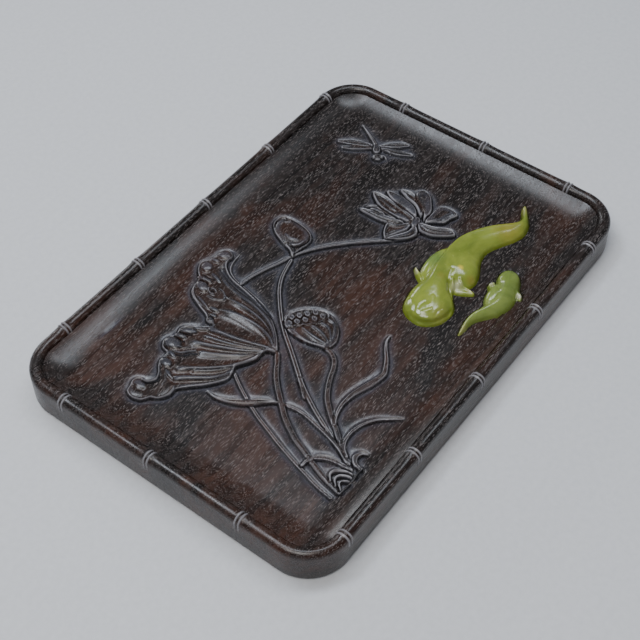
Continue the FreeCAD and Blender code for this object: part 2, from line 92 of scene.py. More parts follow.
# The dish floor is a grid of points. The rim is a row of closed rings of points round it,
# which starts at the inset where the grid ends.
GRID_HALF_X = 130.0
GRID_HALF_Y = 82.0
RIM_START = 17.6
CORNER_LINES = 26
FOOT_STEPS = 4
ROD_STEPS = 20
COVE_STEPS = 18
GRID_STEP = 0.4
STONE_STEP = 0.4
TRAY_TRIANGLES = 190000
FISH_TRIANGLES = 60000
SHARP_DEGREES = 52

# A place higher than CARVED counts as carved. The ground beside it is cut down a little.
CARVED = 0.15
GROUND_CUT = 0.42
NEAR_REACH = 2.0
CREST_REACH = 1.6
EDGE_REACH = 0.4
# How strongly the ridges of the rim's rings take the painted highlights of the edge mark.
RING_EDGE = 0.8
WAVE_HEIGHT = 0.03

# The stones: the height outside them, how far their meshes and their pockets sink under
# the floor, and the stone heights between which a pocket's side falls.
STONE_OUTSIDE = -3.0
STONE_SUNK = -1.6
POCKET_DEPTH = 2.0
POCKET_START = -2.2
POCKET_FULL = -1.0


# ---------------------------------------------------------------- smooth curves

SPLINE_STEPS = 8


def spline(points, closed=False):
    """A smooth line through the points (Catmull-Rom), as an array of points."""
    pts = np.array(points, dtype=float)
    if closed:
        padded = np.vstack([pts[-1:], pts, pts[:2]])
    else:
        first = 2 * pts[0] - pts[1]
        last = 2 * pts[-1] - pts[-2]
        padded = np.vstack([first, pts, last])
    out = []
    for a, b, c, d in zip(padded[:-3], padded[1:-2], padded[2:-1], padded[3:]):
        for step in range(SPLINE_STEPS):
            t = step / SPLINE_STEPS
            out.append(0.5 * (2 * b + (c - a) * t + (2 * a - 5 * b + 4 * c - d) * t ** 2
                              + (3 * b - a - 3 * c + d) * t ** 3))
    if not closed:
        out.append(pts[-1])
    return np.array(out)


def smooth_step(low, high, value):
    """0 up to the low value, 1 from the high one, and a soft slope between them."""
    t = np.clip((value - low) / (high - low), 0, 1)
    return t * t * (3 - 2 * t)


def bell(distance, width):
    """1 at no distance, falling softly to nearly 0 at twice the width."""
    return np.exp(-(distance / width) ** 2)


def to_segments(x, y, line):
    """Distance of every point to an open line, and how far along it, from 0 to 1."""
    best = np.full(x.shape, 1e9)
    along = np.zeros(x.shape)
    count = len(line) - 1
    for index in range(count):
        ax, ay = line[index]
        bx, by = line[index + 1]
        dx, dy = bx - ax, by - ay
        size = dx * dx + dy * dy + 1e-12
        t = np.clip(((x - ax) * dx + (y - ay) * dy) / size, 0, 1)
        far = np.hypot(x - ax - t * dx, y - ay - t * dy)
        nearer = far < best
        best = np.where(nearer, far, best)
        along = np.where(nearer, (index + t) / count, along)
    return best, along


def spread(along, values):
    """Values spread evenly along a line, read at the given shares of its length."""
    return np.interp(along, np.linspace(0, 1, len(values)), values)


def oval_ratio(x, y, east, north, long, wide, turn):
    """0 at the middle of a turned oval and 1 on its edge."""
    cos, sin = math.cos(math.radians(turn)), math.sin(math.radians(turn))
    u = ((x - east) * cos + (y - north) * sin) / long
    v = (-(x - east) * sin + (y - north) * cos) / wide
    return np.hypot(u, v)


def depth_inside(x, y, line):
    """Distance to a closed line: positive inside it, negative outside."""
    ring = np.vstack([line, line[:1]])
    far, _ = to_segments(x, y, ring)
    inside = np.zeros(x.shape, dtype=bool)
    for (ax, ay), (bx, by) in zip(ring[:-1], ring[1:]):
        if ay == by:
            continue
        crosses = ((ay > y) != (by > y)) & (x < (bx - ax) * (y - ay) / (by - ay) + ax)
        inside ^= crosses
    return np.where(inside, far, -far)


def soft_join(first, second, blend):
    """The higher of two height fields, with a fillet of about the blend where they meet."""
    share = np.clip(0.5 + 0.5 * (second - first) / blend, 0, 1)
    return first * (1 - share) + second * share + blend * share * (1 - share)


# The line cut round each shape: how far outside the edge it runs, its width, and how far
# inside the edge it ends. SOFT_EDGE is half the width of the shape's own rounded edge.
CUT_OUTSIDE = 0.45
CUT_WIDTH = 0.5
CUT_END = 0.4
SOFT_EDGE = 0.22


class Carving:
    """A patch-by-patch height field, in millimetres above the dish floor."""

    def __init__(self, x, y):
        self.x = x
        self.y = y
        self.height = np.zeros(x.shape)

    def window(self, points, margin):
        """The part of the grid that holds the points and a margin round them."""
        pts = np.array(points, dtype=float)
        low = pts.min(axis=0) - margin
        high = pts.max(axis=0) + margin
        columns = np.where((self.x[0] >= low[0]) & (self.x[0] <= high[0]))[0]
        rows = np.where((self.y[:, 0] >= low[1]) & (self.y[:, 0] <= high[1]))[0]
        if len(columns) == 0 or len(rows) == 0:
            return None
        return (slice(rows[0], rows[-1] + 1), slice(columns[0], columns[-1] + 1))

    def inside(self, outline):
        """The part of the grid round an outline, and how deep inside it each point is."""
        ring = spline(outline, closed=True)
        area = self.window(ring, 3)
        return area, depth_inside(self.x[area], self.y[area], ring)

    def lay(self, area, depth, top, groove):
        """Lays a shape over what is there, with a cut line just outside its edge."""
        under = self.height[area]
        under = under - groove * bell(depth + CUT_OUTSIDE, CUT_WIDTH) * (depth < CUT_END)
        share = smooth_step(-SOFT_EDGE, SOFT_EDGE, depth)
        self.height[area] = under * (1 - share) + top * share

    def band(self, points, widths, height, hollow=0.0, groove=0.5, flat=2.3):
        """A stem or blade along a line; widths are half widths spread along it."""
        line = spline(points)
        area = self.window(line, max(widths) + 2.5)
        far, along = to_segments(self.x[area], self.y[area], line)
        half = spread(along, widths)
        ratio = np.clip(far / half, 0, 1)
        top = height * (1 - ratio ** flat) ** 0.5
        top -= hollow * (1 - smooth_step(0.0, 0.75, ratio))
        self.lay(area, half - far, np.maximum(top, 0.12 * height), groove)

    def ridge(self, points, widths, height):
        """A soft rib added to the surface along a line."""
        line = spline(points)
        area = self.window(line, max(widths) * 3)
        far, along = to_segments(self.x[area], self.y[area], line)
        half = spread(along, widths)
        fade = smooth_step(0, 0.08, along) * (1 - smooth_step(0.9, 1, along))
        self.height[area] += height * bell(far, half) * fade

    def leafy(self, outline, height, hollow=0.8, groove=0.4, lip=0.5, slope=1.6):
        """A petal-like shape: a thin raised edge that slopes down to a scooped inside."""
        area, depth = self.inside(outline)
        top = height * smooth_step(-0.25, 0.35, depth)
        top -= hollow * smooth_step(lip, lip + slope, depth)
        self.lay(area, depth, top, groove)

    def cushion(self, x, y, long, wide, turn, top, blend=0.3):
        """A rounded swelling that melts into what is there, long way turned in degrees."""
        area = self.window(((x, y),), max(long, wide) + 2)
        ratio = oval_ratio(self.x[area], self.y[area], x, y, long, wide, turn)
        away = (ratio - 1) * min(long, wide)
        form = np.where(ratio < 1, top * np.sqrt(np.maximum(1 - ratio ** 2.2, 0)), -away * 3)
        cut = 0.1 * bell(away - 0.35, 0.6) * (self.height[area] > 0.3)
        self.height[area] = soft_join(self.height[area] - cut, form, blend)

    def bulb(self, outline, base, height, reach, groove):
        """A domed shape that rises from its edge over the given reach."""
        area, depth = self.inside(outline)
        rise = np.clip(depth / reach, 0, 1)
        top = base + (height - base) * np.sqrt(1 - (1 - rise) ** 2)
        self.lay(area, depth, top, groove)

    def dome(self, x, y, long, wide, turn, height, base, groove=0.3):
        """An oval bead with its long way turned by the angle, in degrees."""
        angles = np.linspace(0, 2 * np.pi, 14, endpoint=False)
        cos, sin = math.cos(math.radians(turn)), math.sin(math.radians(turn))
        ring = [(x + long * math.cos(a) * cos - wide * math.sin(a) * sin,
                 y + long * math.cos(a) * sin + wide * math.sin(a) * cos) for a in angles]
        self.bulb(ring, base, height, min(long, wide), groove)


# --------------------------------------------------------------- the lotus relief

LEAF_EDGE = (
    (-53, -1), (-56, 4), (-63, 4.5), (-68, 6.8), (-74, 10.2), (-78, 8.9), (-84, 9),
    (-92, 14.5), (-99, 21.5), (-104, 26), (-109, 26.2), (-114, 29.5), (-116.5, 33.5),
    (-120.5, 36.5), (-122, 41), (-120.5, 46), (-116.5, 47.5), (-113, 48.7), (-110, 46.5),
    (-108.7, 42), (-105, 40), (-101.5, 41), (-97, 44.8), (-93.5, 46.3), (-88.5, 46.5),
    (-86.8, 51), (-83, 53.4), (-79, 52.3), (-77.2, 50), (-74.5, 51), (-70.5, 51.7),
    (-67, 48.5), (-63.5, 42.5), (-59, 38.2), (-58.3, 43), (-55.5, 47), (-53, 54),
    (-50, 61), (-46, 65), (-38, 67), (-33, 71.5), (-28, 73.8), (-23, 71.5), (-16, 70.2),
    (-11.5, 68), (-11, 64.5), (-14, 62.3), (-18, 62), (-22, 59), (-26, 51.5), (-28.5, 39),
    (-31, 28), (-34.5, 18), (-40, 10), (-48, 2),
)
# Each rib runs from the margin to the stem: points, height of its crest, half width.
LEAF_RIBS = (
    (((-103, 28), (-98, 22.5), (-92, 16), (-87, 11.5), (-82, 10)), 1.0, 0.3),
    (((-99, 30.5), (-95, 26), (-91, 20.5), (-87, 15.5), (-82, 11.5), (-78, 10.3)), 1.9, 1.2),
    (((-89, 26), (-85, 20.5), (-81, 16), (-77, 12.2)), 1.5, 0.3),
    (((-93, 33.5), (-89, 28.5), (-85, 23), (-80, 17.2), (-75, 12.2), (-69, 8.2),
      (-63, 5.8), (-57, 3)), 2.0, 0.8),
    (((-77, 31), (-74, 25), (-70, 18.5), (-66, 12.5), (-62, 8)), 1.4, 0.5),
    (((-75, 41), (-71.5, 32), (-67.5, 23), (-64, 15.5), (-60, 8.8), (-56, 4)), 1.8, 0.6),
    (((-67, 36), (-65, 27.5), (-62.3, 19.5), (-59.3, 12.5), (-56, 6)), 1.4, 0.4),
    (((-62, 37), (-60.6, 30), (-59, 22), (-56.8, 14), (-54.5, 7), (-53, 1.5)), 2.0, 1.1),
    (((-49, 46), (-46.6, 37), (-45, 26), (-45.2, 16), (-47.5, 8), (-51, 3)), 1.9, 0.9),
    (((-39, 50), (-38.6, 40), (-38.8, 29), (-40.5, 19), (-44.5, 10), (-49.5, 3.5)), 1.6, 0.3),
    (((-29.5, 58), (-32, 50), (-33.6, 40), (-35.2, 28), (-37.8, 18.5), (-41.8, 10.8),
      (-46.8, 5.2), (-51, 1.5)), 1.9, 0.7),
)
# Swellings of the curled margin: place, half length, half width, turn in degrees, height.
LEAF_CUSHIONS = (
    (-117.8, 42.5, 4.2, 2.4, 95, 1.0), (-113.0, 43.8, 4.0, 2.6, 80, 1.4),
    (-108.0, 31.3, 5.0, 2.2, 5, 0.95), (-94.0, 41.8, 3.9, 2.7, 80, 2.1),
    (-98.5, 36.5, 4.6, 1.3, 70, 1.4), (-81.7, 47.6, 5.2, 3.6, 100, 2.3),
    (-87.5, 43.5, 3.6, 1.5, 75, 1.5), (-75.3, 47.4, 3.6, 1.6, 105, 2.0),
    (-70.2, 46.4, 4.8, 1.9, 118, 2.1), (-64.8, 42.0, 4.2, 1.2, 120, 1.6),
    (-57.3, 42.0, 2.6, 1.8, 80, 1.9), (-53.6, 42.6, 2.3, 1.2, 100, 1.6),
    (-50.0, 45.2, 3.4, 1.5, 95, 1.8), (-49.5, 54.0, 6.5, 1.0, 72, 1.5),
    (-41.0, 61.3, 4.8, 3.2, 75, 2.3), (-36.2, 63.6, 4.6, 1.5, 98, 2.0),
    (-28.3, 68.6, 3.9, 3.4, 60, 2.4), (-21.5, 67.8, 2.9, 1.4, 100, 1.9),
    (-15.2, 66.2, 4.2, 3.0, 120, 2.2), (-31.2, 60.0, 5.0, 1.3, 75, 1.5),
)
# Thin raised edges of the curled margin: points, half width, height.
LEAF_LIPS = (
    (((-110.3, 45.5), (-109, 41.5), (-105.5, 39), (-101, 41), (-97.5, 44.5)), 0.5, 1.0),
    (((-122, 42), (-120, 36), (-116, 33.5), (-114.5, 30), (-110.5, 27.5), (-106, 27),
      (-102.5, 28.5)), 0.6, 0.9),
    (((-86, 44), (-84, 40), (-80.5, 37), (-77.5, 33.5)), 0.55, 0.9),
    (((-83, 45.5), (-80.5, 41), (-77.5, 38)), 0.45, 0.7),
    (((-107, 34), (-103, 34.5), (-99.5, 38)), 0.5, 0.6),
    (((-68, 49.5), (-65.5, 45.5), (-62, 41), (-58.5, 37.5)), 0.45, 0.7),
    (((-52, 52), (-50.3, 58), (-46.5, 63.3), (-41.5, 65.8)), 0.45, 0.8),
    (((-41.5, 51.5), (-42.2, 54.5), (-40.5, 57.2), (-38.7, 55), (-39.3, 52)), 0.5, 1.0),
    (((-44.5, 56), (-44, 50), (-41, 45.5), (-37.5, 48.5), (-36.3, 54)), 0.5, 0.7),
    (((-36.5, 66.5), (-33, 71), (-28, 73.3), (-23.5, 71)), 0.45, 0.6),
)
# The cuts beside them: points, half width, depth.
LEAF_CUTS = (
    (((-111, 44.5), (-109.5, 40.8), (-106, 38.2), (-102, 39.3)), 0.8, 1.1),
    (((-86.5, 45.5), (-86.3, 49.5), (-84, 52.3)), 0.5, 0.7),
    (((-87, 42), (-84.5, 38), (-81, 35), (-78.5, 31.5)), 0.6, 0.8),
    (((-77.7, 50.5), (-77.5, 46), (-77, 42.5)), 0.4, 0.8),
    (((-73.6, 50.5), (-72.6, 46.5), (-70.8, 42.5)), 0.4, 0.8),
    (((-38.5, 66), (-37.8, 61), (-39.5, 57.8)), 0.55, 1.0),
    (((-33.8, 68), (-33.8, 63), (-32.8, 58)), 0.5, 0.8),
    (((-40.3, 55.6), (-40, 53.3)), 0.6, 1.0),
    (((-55.2, 44.5), (-55.3, 41)), 0.4, 0.7),
)


# The hollows between the ribs, the lowest part of the leaf, and the heights of its far
# margin and of its lobe at the left end.
FLUTE_DEPTH = 1.45
FLUTE_SLOPE = 0.3
FLUTE_START = 0.46
LEAF_LOWEST = 0.35
MARGIN_HEIGHT = 0.8
LOBE_HEIGHT = 0.65


def leaf_flutes(x, y):
    """Rounded ribs with hollow flutes between them; deeper where the ribs lie apart."""
    reach = []
    crest = []
    for points, height, half in LEAF_RIBS:
        far, _ = to_segments(x, y, spline(points))
        reach.append(np.maximum(far - half * 0.5, 0.01))
        crest.append(height)
    reach = np.array(reach)
    crest = np.array(crest)
    order = np.argsort(reach, axis=0)
    nearest = np.take_along_axis(reach, order[:1], axis=0)[0]
    second = np.take_along_axis(reach, order[1:2], axis=0)[0]
    high = (crest[order[0]] * second + crest[order[1]] * nearest) / (nearest + second)
    apart = nearest + second
    deepest = np.minimum(FLUTE_DEPTH, FLUTE_SLOPE * apart)
    dip = deepest * smooth_step(0.0, FLUTE_START, nearest / apart)
    return np.maximum(high - dip, LEAF_LOWEST)


def carve_leaf(carving):
    area, depth = carving.inside(LEAF_EDGE)
    x, y = carving.x[area], carving.y[area]
    top = leaf_flutes(x, y)
    margin = smooth_step(35, 47, y + 0.12 * np.abs(x + 60))
    top = top * (1 - margin) + MARGIN_HEIGHT * margin
    lobe = smooth_step(-98, -103, x)
    top = top * (1 - lobe) + LOBE_HEIGHT * lobe
    top = top * smooth_step(-0.2, 0.5, depth) + 0.35 * bell(depth - 0.5, 0.5)
    carving.lay(area, depth, top, 0.6)
    for points, height, half in LEAF_RIBS:
        carving.ridge(points, (0.4, 0.5 + 0.2 * half, 0.35), 0.2 * height)
    for east, north, long, wide, turn, height in LEAF_CUSHIONS:
        carving.cushion(east, north, long * 1.12, wide * 1.15, turn, height, 0.7)
    for points, half, height in LEAF_LIPS:
        carving.ridge(points, (half * 0.7, half, half * 0.7), height)
    for points, half, cut in LEAF_CUTS:
        carving.ridge(points, (half * 0.8, half, half * 0.8), -cut)
    deep = ((-44.5, 4.5), (-37, 13), (-32.8, 24), (-30.8, 38), (-29, 49), (-25.5, 58),
            (-24, 64))
    carving.ridge(deep, (0.6, 1.3, 1.4, 1.6), -1.3)
    rim = ((-48, 2.0), (-39.5, 9.5), (-33.8, 18), (-30.2, 28), (-27.8, 39), (-25.4, 51),
           (-21.5, 57), (-15, 59.6), (-5.5, 60))
    carving.ridge(rim, (0.5, 0.6, 0.4), 0.8)


# Stems, then blades, in the order they are laid: points, half widths, height, how far the
# middle is hollowed and how flat the top is.
STEMS = (
    # the thin stem on the outside left
    (((-77, 8.5), (-80, 4), (-84, -3), (-88, -11), (-92, -20), (-95, -28.5), (-98.5, -38.5),
      (-101.5, -48.5), (-104.5, -59.5), (-107, -69.5), (-108.3, -78.5)),
     (0.8, 1.0, 1.0), 0.75, 0.3, 2.3),
    # the bud's stem: its upper part, then its lower part
    (((-67, -31), (-61, -24), (-53, -14), (-46, -5), (-40, 3), (-34.5, 9.5), (-29, 15),
      (-22, 21.2), (-16.5, 25.6), (-10, 29.4), (-3.5, 31.8), (5, 34)),
     (1.3, 1.15, 1.0), 1.2, 0.6, 2.3),
    (((-87.5, -75), (-84, -68.5), (-79.5, -58.5), (-75, -49), (-70.5, -40), (-65, -30.5),
      (-59.5, -22)), (1.1, 1.1, 1.2), 1.1, 0.4, 2.3),
    # the seed pod's stem
    (((-34.4, -21), (-35.6, -25), (-38.3, -28.9), (-43, -31.8), (-48.5, -34), (-55, -37.2),
      (-61, -41.2), (-65.5, -45.8), (-69.5, -50.6), (-73.5, -56), (-77.5, -60.8), (-82, -66.5),
      (-86.5, -73.5)), (1.3, 1.5, 1.4), 1.1, 0.0, 2.3),
    # the rolled young leaf: its stem, then its blade
    (((-78.3, -21.7), (-77, -27.5), (-76, -34), (-76.4, -40), (-78, -48.5), (-80, -57.2),
      (-83, -66), (-87.3, -74)), (0.8, 1.0, 1.0), 0.9, 0.3, 2.3),
    (((-95.2, 12), (-95.6, 6.5), (-93.8, 0), (-90.5, -6), (-87, -10.8), (-83, -15.4),
      (-78.3, -21.7)), (0.3, 1.0, 1.7, 1.8, 0.6), 1.4, 0.0, 1.6),
    # the big leaf's stem
    (((-53, -1.5), (-58.3, -5.6), (-64, -9.5), (-69.5, -14.4), (-75, -20.5), (-79.5, -25.7),
      (-84, -31.2), (-88.3, -38), (-91.8, -44.5), (-94.5, -51.7), (-96.7, -57), (-99, -63),
      (-101.2, -69.5), (-103.3, -79.3)), (1.4, 1.6, 1.5), 1.2, 0.0, 2.3),
    # the blossom's long stem
    (((66.7, -12), (60.6, -10.4), (55.6, -6), (50, -0.4), (44.5, 5.7), (37.8, 12.8), (31, 19.4),
      (24.5, 25), (16.5, 30.7), (8.3, 35.1), (-1, 38), (-8, 40.7), (-14.5, 42.9), (-21, 44.5),
      (-27, 45.3)), (0.95, 0.85, 0.8, 0.75), 1.2, 0.6, 2.3),
    # the long blade, the low blade and the small one on the left
    (((-71.7, -54), (-66.1, -51.1), (-59.4, -49.6), (-51.7, -50), (-44, -52.2), (-37, -54.4),
      (-30.6, -55.5), (-26.7, -54.3), (-21, -51), (-15.6, -46.8), (-11, -44), (-7.2, -43.3)),
     (0.6, 1.2, 2.0, 1.5, 1.0, 0.5), 1.1, 0.25, 2.3),
    (((-84, -70.5), (-81.7, -67.2), (-77.2, -64.4), (-70.6, -63.7), (-64, -65.2), (-57.3, -69),
      (-52.8, -74), (-48, -80.5)), (0.8, 1.05, 0.95, 0.8, 0.3), 0.95, 0.3, 2.3),
    (((-101.8, -55.6), (-97.8, -56.1), (-94, -58.4), (-90.7, -64), (-89.4, -70.6), (-89.2, -77)),
     (0.8, 1.3, 1.1), 1.0, 0.3, 2.3),
)


def carve_stems(carving):
    for points, widths, height, hollow, flat in STEMS:
        carving.band(points, widths, height, hollow, flat=flat)


def carve_roots(carving):
    """The nested scales and the small curled leaf where the stems meet."""
    scales = (
        (((-100.5, -72.5), (-97.5, -70.2), (-94.2, -71.2), (-92, -75), (-91.4, -79)), 1.2),
        (((-101.3, -76.5), (-98.5, -73.9), (-95.6, -74.5), (-93.6, -77.5), (-93, -80)), 1.0),
        (((-102, -80), (-99.8, -77.6), (-97.4, -77.7), (-95.4, -80.3)), 0.8),
    )
    for points, half in scales:
        carving.band(points, (0.5, half, half * 0.8), 1.4, flat=1.8, groove=0.6)
    carving.band(((-86, -80.3), (-85, -76.8), (-81.8, -74.4), (-78.4, -75.6),
                  (-76.7, -78.8)), (0.9, 1.6, 0.4), 1.3, hollow=0.3, groove=0.5)
    carving.band(((-104, -80.6), (-96, -81.4), (-90, -81), (-85, -81)), (0.4, 0.8, 0.4), 0.6)


def carve_bud(carving):
    """An egg-shaped bud inside the raised edge of its sheath."""
    sheath = ((10.5, 36.3), (11.7, 42.8), (13.9, 49.4), (16.7, 55), (20.6, 59.2), (25, 60.6),
              (29.6, 58.8), (31, 52), (30.4, 44), (28, 37.4), (23.3, 33.9), (16, 34.6))
    egg = ((13.4, 40), (13.6, 46), (16, 52.5), (20.5, 57.8), (26, 58.2), (29.4, 51.5),
           (29, 43.5), (26.3, 36.6), (19.5, 35.2))
    carving.leafy(sheath, 1.3, hollow=0.9, groove=0.6, lip=0.2, slope=1.0)
    carving.bulb(egg, 0.35, 2.2, 5.5, groove=0.5)
    carving.ridge(((19, 39.5), (17.6, 44), (18.2, 49)), (0.7, 1.1, 0.7), 0.4)
    carving.ridge(((25, 54.5), (28, 52.2), (30.2, 57)), (0.5, 0.7, 0.5), 0.8)
    carving.ridge(((12.8, 43), (15.3, 51), (19.5, 57.8)), (0.4, 0.5, 0.4), 0.5)
    carving.band(((8.3, 35.6), (11.5, 38.6), (12.6, 43.5)), (0.8, 1.3, 0.6), 1.2)
    carving.ridge(((13.2, 42.5), (14.7, 39.2), (17.2, 37.2), (20.8, 36.4)), (0.6, 0.9, 0.5), 0.7)


# The pod's flat face and the places of its seeds.
SEED_FACE = ((-35.5, 7), (-30.5, 10.2), (-25, 8.8), (-19.5, 4.6), (-15.6, -1.5), (-14.4, -6.6),
             (-16.6, -9.6), (-21, -8.6), (-26.4, -5.2), (-31.6, 0.4), (-35.6, 4))
SEEDS = (
    (-33, 5.6), (-28.8, 7.2), (-29.6, 2.9), (-25.4, 4.6), (-26, 0), (-21.8, 1.8),
    (-22.3, -3.6), (-18.3, -1.2), (-18.2, -6.2),
)


def carve_seed_pod(carving):
    """A cup with five ribs, and its flat face with a dimpled bead for each seed."""
    body = ((-36.5, 5), (-38, -2), (-38, -9.5), (-36.3, -16), (-34.4, -21), (-29.5, -22.6),
            (-25, -21.6), (-20, -18.5), (-16.2, -13.5), (-14.4, -8), (-18, -2), (-26, 4),
            (-33, 9))
    carving.bulb(body, 0.5, 1.9, 5, groove=0.5)
    for shift in (-0.04, 0.2, 0.44, 0.68, 0.9):
        top = (-35.5 + 19 * shift, 0.5 - 11 * shift)
        middle = (-36.8 + 19.5 * shift, -10.5 - 5.5 * shift)
        carving.ridge((top, middle, (-34 + 5 * shift, -20.6 - 0.6 * shift)),
                      (0.7, 1.1, 0.6), 0.75)
    carving.leafy(SEED_FACE, 2.1, hollow=0.7, groove=0.6)
    for x, y in SEEDS:
        carving.dome(x, y, 2.2, 1.7, 60, 2.3, base=1.2, groove=0.5)
        carving.dome(x, y, 1.2, 0.85, 60, 1.75, base=1.6, groove=0.0)


# Each petal: its outline, its height and whether it is domed (True) or scooped (False).
PETALS = (
    (((62, -4), (66, 2), (68, 10), (68.3, 18), (66, 25), (70.5, 19.5), (72.5, 10), (72, -3)),
     0.8, False),
    (((68, -3), (63.5, 2.5), (61.2, 10), (60.6, 18.5), (61.2, 26), (64, 22.8), (65.6, 14),
      (67.2, 5)), 1.2, False),
    (((71, -5), (69.2, 3), (69.2, 11.5), (70.5, 18.5), (73.5, 24), (77.8, 28),
      (79.4, 21.5), (78.4, 13), (76.8, 4), (75, -3)), 1.35, False),
    (((76, -4), (76.8, 2), (77.8, 9), (80, 17), (83.4, 21.8), (85, 15), (84.4, 8.5),
      (81.8, 0.5)), 1.3, True),
    (((78, -6), (83, 1.5), (85.6, 9.5), (88.9, 15.8), (91.2, 10), (89.2, 2.5),
      (84, -4.4)), 1.45, False),
    (((77, -9), (83, -4.5), (87.5, 2), (92, 6.6), (96.4, 5), (95.8, -0.6), (91.1, -5),
      (84.4, -9)), 1.3, True),
    (((51.2, 0.8), (54, 4), (58, 6), (62.3, 6.6), (64, 2), (69, -2.5), (71.5, -4.6),
      (65, -5.5), (59.5, -3), (55, -0.8)), 0.9, False),
    (((51.5, 0), (54.5, -1), (59, -4), (63.5, -6.5), (70, -7.5), (66, -11.8), (60.5, -10.8),
      (55, -6)), 1.0, False),
    (((76, -10.5), (84.4, -10), (90, -10.8), (93, -14.5), (93.3, -19.5), (91.7, -23),
      (86.7, -21.2), (82.2, -20), (79.4, -16.3)), 1.0, True),
    (((72.4, -8), (68, -12), (68.2, -18.5), (71, -24), (76.7, -30.6), (79.4, -27.3),
      (79, -23.5), (75.8, -18), (74, -11.5)), 1.4, False),
)
# A soft fold along the middle of some petals.
PETAL_FOLDS = (
    ((62.8, 21), (63.6, 14), (65.4, 6), (68.5, -2)),
    ((77, 24), (74.6, 17), (73, 8), (72.6, -2)),
    ((88, 13), (86.4, 7), (83.5, 0), (79.5, -6)),
    ((78, -27.5), (74, -22), (71.6, -16), (72.3, -9.5)),
    ((91.5, -20), (86.5, -17.8), (81.5, -16.5), (77.5, -12)),
    ((54, 2.2), (58.5, 0.8), (63, -3), (69, -4.6)),
)
# Rounded lengths on two petals: place, half length, half width and turn.
PETAL_SWELLS = ((66.4, 17, 5.0, 1.3, 95), (71.2, 2, 6.5, 1.8, 88))


def carve_blossom(carving):
    for outline, height, domed in PETALS:
        if domed:
            carving.bulb(outline, 0.8, height + 0.9, 4.0, groove=0.9)
        else:
            carving.leafy(outline, height + 0.4, hollow=0.95, groove=0.9, lip=0.15, slope=2.4)
    for points in PETAL_FOLDS:
        carving.ridge(points, (0.45, 0.6, 0.45), 0.55)
    for x, y, long, wide, turn in PETAL_SWELLS:
        carving.cushion(x, y, long, wide, turn, 1.9)
    carving.dome(72.4, -6.2, 4.2, 2.2, 10, 1.8, base=0.6, groove=0.3)


# Each wing: its middle line and its height.
WINGS = (
    (((109.5, 51), (104.5, 58.5), (99, 66)), 0.9),
    (((110.8, 53), (107, 62), (102, 71)), 0.9),
    (((113.5, 48), (119.5, 41), (124, 34.8)), 1.0),
    (((112, 46), (114.5, 37.5), (118, 28.3)), 1.0),
)


def carve_dragonfly(carving):
    """Four wings, the long tail, the body, the head with two eyes, and two forelegs."""
    for points, height in WINGS:
        carving.band(points, (0.9, 2.1, 2.3, 1.2), height, hollow=0.45, flat=3.5, groove=0.4)
    carving.band(((111, 49), (114, 53), (118, 60), (122, 67.5)), (1.5, 1.1, 0.9, 0.4), 1.1)
    carving.dome(109.5, 48.2, 3.8, 2.4, 35, 1.8, base=0.3)
    carving.dome(104, 43.6, 2.9, 2.6, 35, 1.9, base=0.3)
    carving.dome(102.6, 45.3, 1.1, 0.9, 35, 2.1, base=1.0)
    carving.dome(105.4, 41.6, 1.1, 0.9, 35, 2.1, base=1.0)
    for points in (((107, 44), (107.5, 40.5), (105.5, 38)), ((110.5, 45), (112, 41), (110.5, 38))):
        carving.ridge(points, (0.45, 0.45, 0.4), 0.7)


# ------------------------------------------------------------------- the catfish


class Stone:
    """A carved stone animal as a height field over its own footprint."""

    def __init__(self, low, high):
        xs = np.arange(low[0], high[0] + STONE_STEP, STONE_STEP)
        ys = np.arange(low[1], high[1] + STONE_STEP, STONE_STEP)
        self.x, self.y = np.meshgrid(xs, ys)
        self.height = np.full(self.x.shape, STONE_OUTSIDE)

    def join(self, height, blend=0.01):
        """Joins a form to the stone, with a fillet of about the blend where they meet."""
        self.height = soft_join(self.height, height, blend)

    def ridged_form(self, outline, ridge, fullness=1.8, flank=0.6):
        """A body that falls from its ridge (points of x, y, height) to its outline."""
        ring = spline(outline, closed=True)
        rows = spline(ridge)
        depth = depth_inside(self.x, self.y, ring)
        far, along = to_segments(self.x, self.y, rows[:, :2])
        tall = spread(along, rows[:, 2])
        share = np.clip(far / (far + np.maximum(depth, 0.001)), 0, 1)
        body = tall * np.maximum(1 - share ** fullness, 0) ** flank
        return np.where(depth > 0, body, depth * 3)

    def spine_form(self, stations, bulge=2.0):
        """A long body through stations of x, y, half width and height."""
        rows = np.array(stations, dtype=float)
        line = spline(rows[:, :2])
        places = spline(rows)
        far, along = to_segments(self.x, self.y, line)
        half = spread(along, places[:, 2])
        tall = spread(along, places[:, 3])
        ratio = far / np.maximum(half, 0.05)
        over = np.maximum(1 - np.clip(ratio, 0, 1) ** bulge, 0)
        body = tall * np.sqrt(over)
        return np.where(ratio < 1, body, -(far - half) * 3.0)

    def oval(self, x, y, long, wide, turn, height, bulge=2.0):
        """A rounded oval lump with its long way turned by the angle, in degrees."""
        ratio = oval_ratio(self.x, self.y, x, y, long, wide, turn)
        over = np.maximum(1 - np.clip(ratio, 0, 1) ** bulge, 0)
        return np.where(ratio < 1, height * np.sqrt(over), -(ratio - 1) * min(long, wide) * 3)

    def crease(self, points, widths, depth):
        """Adds a soft groove (or a ridge, when the depth is negative) along a line."""
        line = spline(points)
        far, along = to_segments(self.x, self.y, line)
        half = spread(along, widths)
        fade = smooth_step(0, 0.12, along) * (1 - smooth_step(0.85, 1, along))
        self.height = self.height - depth * bell(far, half) * fade * (self.height > 0)


